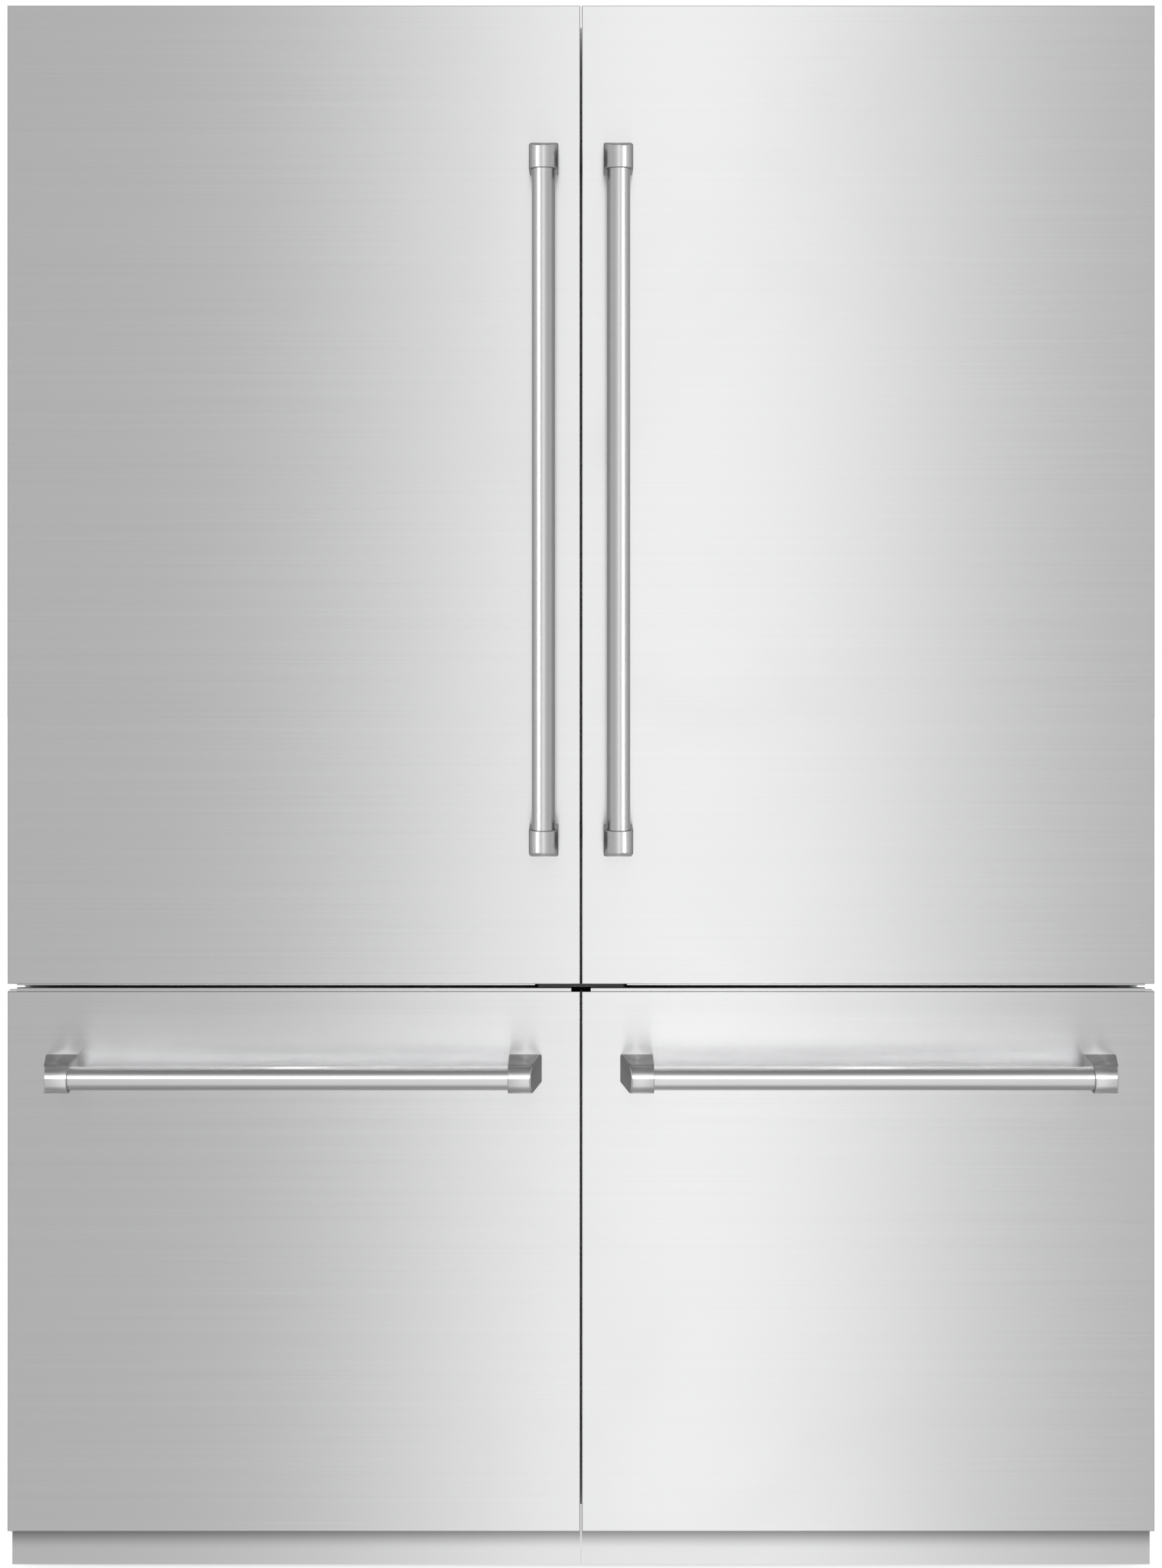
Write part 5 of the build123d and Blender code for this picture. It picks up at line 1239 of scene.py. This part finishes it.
for name, side in SIDES.items():
    low, high = half_box("outer_cases", side)
    skin = high.x if side > 0 else low.x
    for index, y in enumerate(RIB_STARTS, 1):
        ends = sorted((skin - side * ROOT, skin + side * RIB_PROUD))
        strip_low = Vector((ends[0], y, low.z + RIB_MARGIN))
        strip_high = Vector((ends[1], y + RIB_WIDTH, high.z - RIB_MARGIN))
        mesh = side_strip(strip_low, strip_high, side, 1.2 * MM)
        place_piece(f"{name}_case_rib_{index}", mesh, "case_paint", "cabinet")
    ends = sorted((skin - side * ROOT, skin + side * EDGE_TRIM_PROUD))
    strip_low = Vector((ends[0], low.y + 1 * MM, low.z + 2 * MM))
    strip_high = Vector((ends[1], low.y + EDGE_TRIM_WIDTH, high.z - 2 * MM))
    mesh = side_strip(strip_low, strip_high, side, 0.8 * MM)
    place_piece(f"{name}_case_edge_trim", mesh, "black_plastic", "cabinet")
    middle = side * WIRING_MIDDLE
    cover_low, cover_high = (middle - WIRING_HALF, WIRING_FRONT), (middle + WIRING_HALF, WIRING_BACK)
    mesh = bmesh.new()
    rings = []
    for inset, lift in ((0.0, 0.0), (0.0, 6.0), (0.8, 8.4), (3.0, 9.6), (6.0, 10.0), (40.0, 10.0)):
        rings.append(inset_ring(cover_low, cover_high, inset * MM, 14 * MM, high.z - 0.1 * MM + lift * MM))
    loft(mesh, rings)
    place_piece(f"{name}_wiring_cover", mesh, "black_plastic", "cabinet")
print("case details added")

# %% [markdown]
# ## Studio
# The room is a plain white studio. A steel front shows only what it mirrors, so the light behind the viewer
# is shaped: brightest a little right of the middle and falling softly to both sides, which gives the fronts
# their slow side-to-side gradient. A world shader does this without noise. The background itself stays
# plain white.

# %% World
GLOW_CENTRE = 0.044
GLOW_WIDTH = 0.205
GLOW_LOW = 0.69
GLOW_HIGH = 1.54

world = bpy.data.worlds.new("studio_room")
bpy.context.scene.world = world
world.use_nodes = True
room = world.node_tree
background = room.nodes["Background"]
direction = add_node(room, "ShaderNodeTexCoord").outputs["Generated"]
axes = add_node(room, "ShaderNodeSeparateXYZ")
room.links.new(direction, axes.inputs["Vector"])


def room_math(operation, first, second, clamp=False):
    """One sum in the world's graph, on sockets or plain numbers."""
    node = add_node(room, "ShaderNodeMath", operation=operation, use_clamp=clamp)
    for socket, value in zip(node.inputs, (first, second)):
        if isinstance(value, (int, float)):
            socket.default_value = value
        else:
            room.links.new(value, socket)
    return node.outputs["Value"]


towards = room_math("MAXIMUM", room_math("MULTIPLY", axes.outputs["Y"], -1.0), 0.05)
sideways = room_math("DIVIDE", axes.outputs["X"], towards)
off_centre = room_math("ABSOLUTE", room_math("SUBTRACT", sideways, GLOW_CENTRE), 0.0)
glow = add_node(room, "ShaderNodeMapRange", interpolation_type="SMOOTHSTEP")
glow.inputs["From Max"].default_value = GLOW_WIDTH
glow.inputs["To Min"].default_value = GLOW_HIGH
glow.inputs["To Max"].default_value = GLOW_LOW
room.links.new(off_centre, glow.inputs["Value"])


print("glow from", GLOW_LOW, "to", GLOW_HIGH)

# %% [markdown]
# The room's ceiling, floor and far sides are dimmer than its middle, so tops, undersides and round edges
# read as solid. The last mix sorts the rays: the camera sees plain white, mirrors see the shaped room, and
# matt surfaces get an even fill.

# %% Dim the edges of the room and sort the rays
FLAG_NEAR = 0.42
FLAG_FAR = 0.75
FLAG_TONE = 0.80
CEILING_START = 0.62
CEILING_FULL = 0.90
CEILING_TONE = 0.40
FLOOR_START = 0.70
FLOOR_FULL = 0.95
FLOOR_TONE = 0.60
FILL = 1.05


def falling(value, start, full, tone):
    """A factor that falls smoothly from 1 at start to a tone at full."""
    node = add_node(room, "ShaderNodeMapRange", interpolation_type="SMOOTHSTEP")
    node.inputs["From Min"].default_value = start
    node.inputs["From Max"].default_value = full
    node.inputs["To Min"].default_value = 1.0
    node.inputs["To Max"].default_value = tone
    room.links.new(value, node.inputs["Value"])
    return node.outputs["Result"]


def choose(factor, when_zero, when_one):
    """One of two strengths, by kind of ray."""
    node = add_node(room, "ShaderNodeMix", data_type="FLOAT")
    room.links.new(factor, node.inputs["Factor"])
    for label, value in (("A", when_zero), ("B", when_one)):
        if isinstance(value, float):
            node.inputs[label].default_value = value
        else:
            room.links.new(value, node.inputs[label])
    return node.outputs["Result"]


in_front = room_math("LESS_THAN", axes.outputs["Y"], 0.0)
flags = falling(off_centre, FLAG_NEAR, FLAG_FAR, FLAG_TONE)
flagged = choose(in_front, 1.0, flags)
ceiling = falling(axes.outputs["Z"], CEILING_START, CEILING_FULL, CEILING_TONE)
below = falling(room_math("MULTIPLY", axes.outputs["Z"], -1.0), FLOOR_START, FLOOR_FULL, FLOOR_TONE)
upright = room_math("MULTIPLY", ceiling, below)
mirrored = room_math("MULTIPLY", room_math("MULTIPLY", glow.outputs["Result"], flagged), upright)
rays = add_node(room, "ShaderNodeLightPath").outputs
strength = choose(rays["Is Camera Ray"], choose(rays["Is Glossy Ray"], FILL, mirrored), 1.0)
background.inputs["Color"].default_value = (1, 1, 1, 1)
room.links.new(strength, background.inputs["Strength"])
bpy.context.scene.view_settings.view_transform = "Standard"
print("even fill for matt surfaces:", FILL)

# %% [markdown]
# ## Floor and lights
# The floor is a wide pale disc. It glows a little, so that it meets the white background without a line,
# and mirrors don't see it. One large softbox overhead gives the soft shadow under the cabinets. The handles
# are round and would look dull in a plain room, so softboxes are linked to them alone, as a studio lights a
# small part.

# %% Floor
FLOOR_RADIUS = 14.0


def floor_finish():
    material, tree, shader, place = start_finish(
        "studio_floor", {"Specular IOR Level": 0.1, "Emission Color": (1, 1, 1, 1), "Emission Strength": 0.62}
    )
    skin = use_group(tree, moulded_skin, place, {"Grains per metre": 60.0})
    colour = tones(tree, skin.outputs["Cloud"], (0.54, 0.54, 0.54), (0.57, 0.57, 0.57))
    tree.links.new(colour, shader.inputs["Base Color"])
    tree.links.new(spread(tree, skin.outputs["Grain"], 0.75, 0.9), shader.inputs["Roughness"])
    return material


floor_mesh = bmesh.new()
loft(floor_mesh, [circle(FLOOR_RADIUS, -0.01), circle(FLOOR_RADIUS, 0.0)])
floor_data = bpy.data.meshes.new("studio_floor")
floor_mesh.to_mesh(floor_data)
floor_mesh.free()
floor = bpy.data.objects.new("studio_floor", floor_data)
bpy.context.scene.collection.objects.link(floor)
floor_data.materials.append(floor_finish())
floor.visible_glossy = False
floor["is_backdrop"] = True
print("floor radius, m:", FLOOR_RADIUS)

# %% Lights
def soft_light(name, spot, aim, size, watts, lights_only=(), shaded_by=None):
    """A rectangular softbox. With lights_only it lights just those pieces, shadowed by one piece if given."""
    data = bpy.data.lights.new(name, "AREA")
    data.shape = "RECTANGLE"
    data.size, data.size_y = size
    data.energy = watts
    lamp = bpy.data.objects.new(name, data)
    bpy.context.scene.collection.objects.link(lamp)
    lamp.location = spot
    lamp.rotation_mode = "QUATERNION"
    lamp.rotation_quaternion = (Vector(aim) - Vector(spot)).to_track_quat("-Z", "Y")
    if lights_only:
        group = bpy.data.collections.new(name + "_receivers")
        for piece in lights_only:
            group.objects.link(piece)
        lamp.light_linking.receiver_collection = group
    if shaded_by:
        blockers = bpy.data.collections.new(name + "_blockers")
        blockers.objects.link(shaded_by)
        lamp.light_linking.blocker_collection = blockers
    return lamp


def handle_pieces(name, kind):
    """The bar and the two brackets of one handle."""
    return [bpy.data.objects[f"{name}_{kind}_{part}"] for part in ("grip", "bracket_low", "bracket_high")]


DOOR_BAR_MIDDLE = (0, -0.33, 1.4)
DRAWER_BAR_MIDDLE = (0, -0.33, 0.67)

overhead = soft_light("overhead_softbox", (0, 1.2, 4.2), (0, 0.6, 0), (5.0, 3.0), 60)
overhead.visible_glossy = False
for name, side in SIDES.items():
    spot = (side * 2.0, -2.2, 1.4)
    soft_light(f"{name}_handle_strip", spot, DOOR_BAR_MIDDLE, (0.60, 3.0), 22, handle_pieces(name, "door"))
pieces = [piece for name in SIDES for piece in handle_pieces(name, "drawer")]
soft_light("drawer_handle_strip", (0, -2.4, 1.55), DRAWER_BAR_MIDDLE, (4.0, 0.8), 30, pieces)
grips = [bpy.data.objects[f"{name}_drawer_grip"] for name in SIDES]
soft_light("drawer_handle_rear", (0, 0.9, 1.25), DRAWER_BAR_MIDDLE, (2.4, 0.9), 370, grips, floor)

# %% [markdown]
# ## Camera
# The camera looks straight at the fronts, level, so uprights stay upright. Its height sits above the
# middle, and a small lens shift brings the pair back to the middle of the frame.

# %% Camera
FRONT_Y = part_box("left_door_panel")[0].y
VIEW_DISTANCE = 3.2
FRAME_HEIGHT = 2.0768
FRAME_CENTRE = 1.046
SHIFT = -0.17
SENSOR = 36.0

camera_data = bpy.data.cameras.new("front_camera")
camera_data.sensor_width = SENSOR
camera_data.lens = SENSOR * VIEW_DISTANCE / FRAME_HEIGHT
camera_data.shift_y = SHIFT
camera = bpy.data.objects.new("front_camera", camera_data)
bpy.context.scene.collection.objects.link(camera)
camera.location = (0, FRONT_Y - VIEW_DISTANCE, FRAME_CENTRE - SHIFT * FRAME_HEIGHT)
camera.rotation_euler = (math.radians(90), 0, 0)
bpy.context.scene.camera = camera
print("camera height, m:", round(camera.location.z, 3), "lens, mm:", round(camera_data.lens, 1))

# %% Print the sizes and finish
low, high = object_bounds()
print("visual box, metres:", [round(size, 3) for size in high - low])
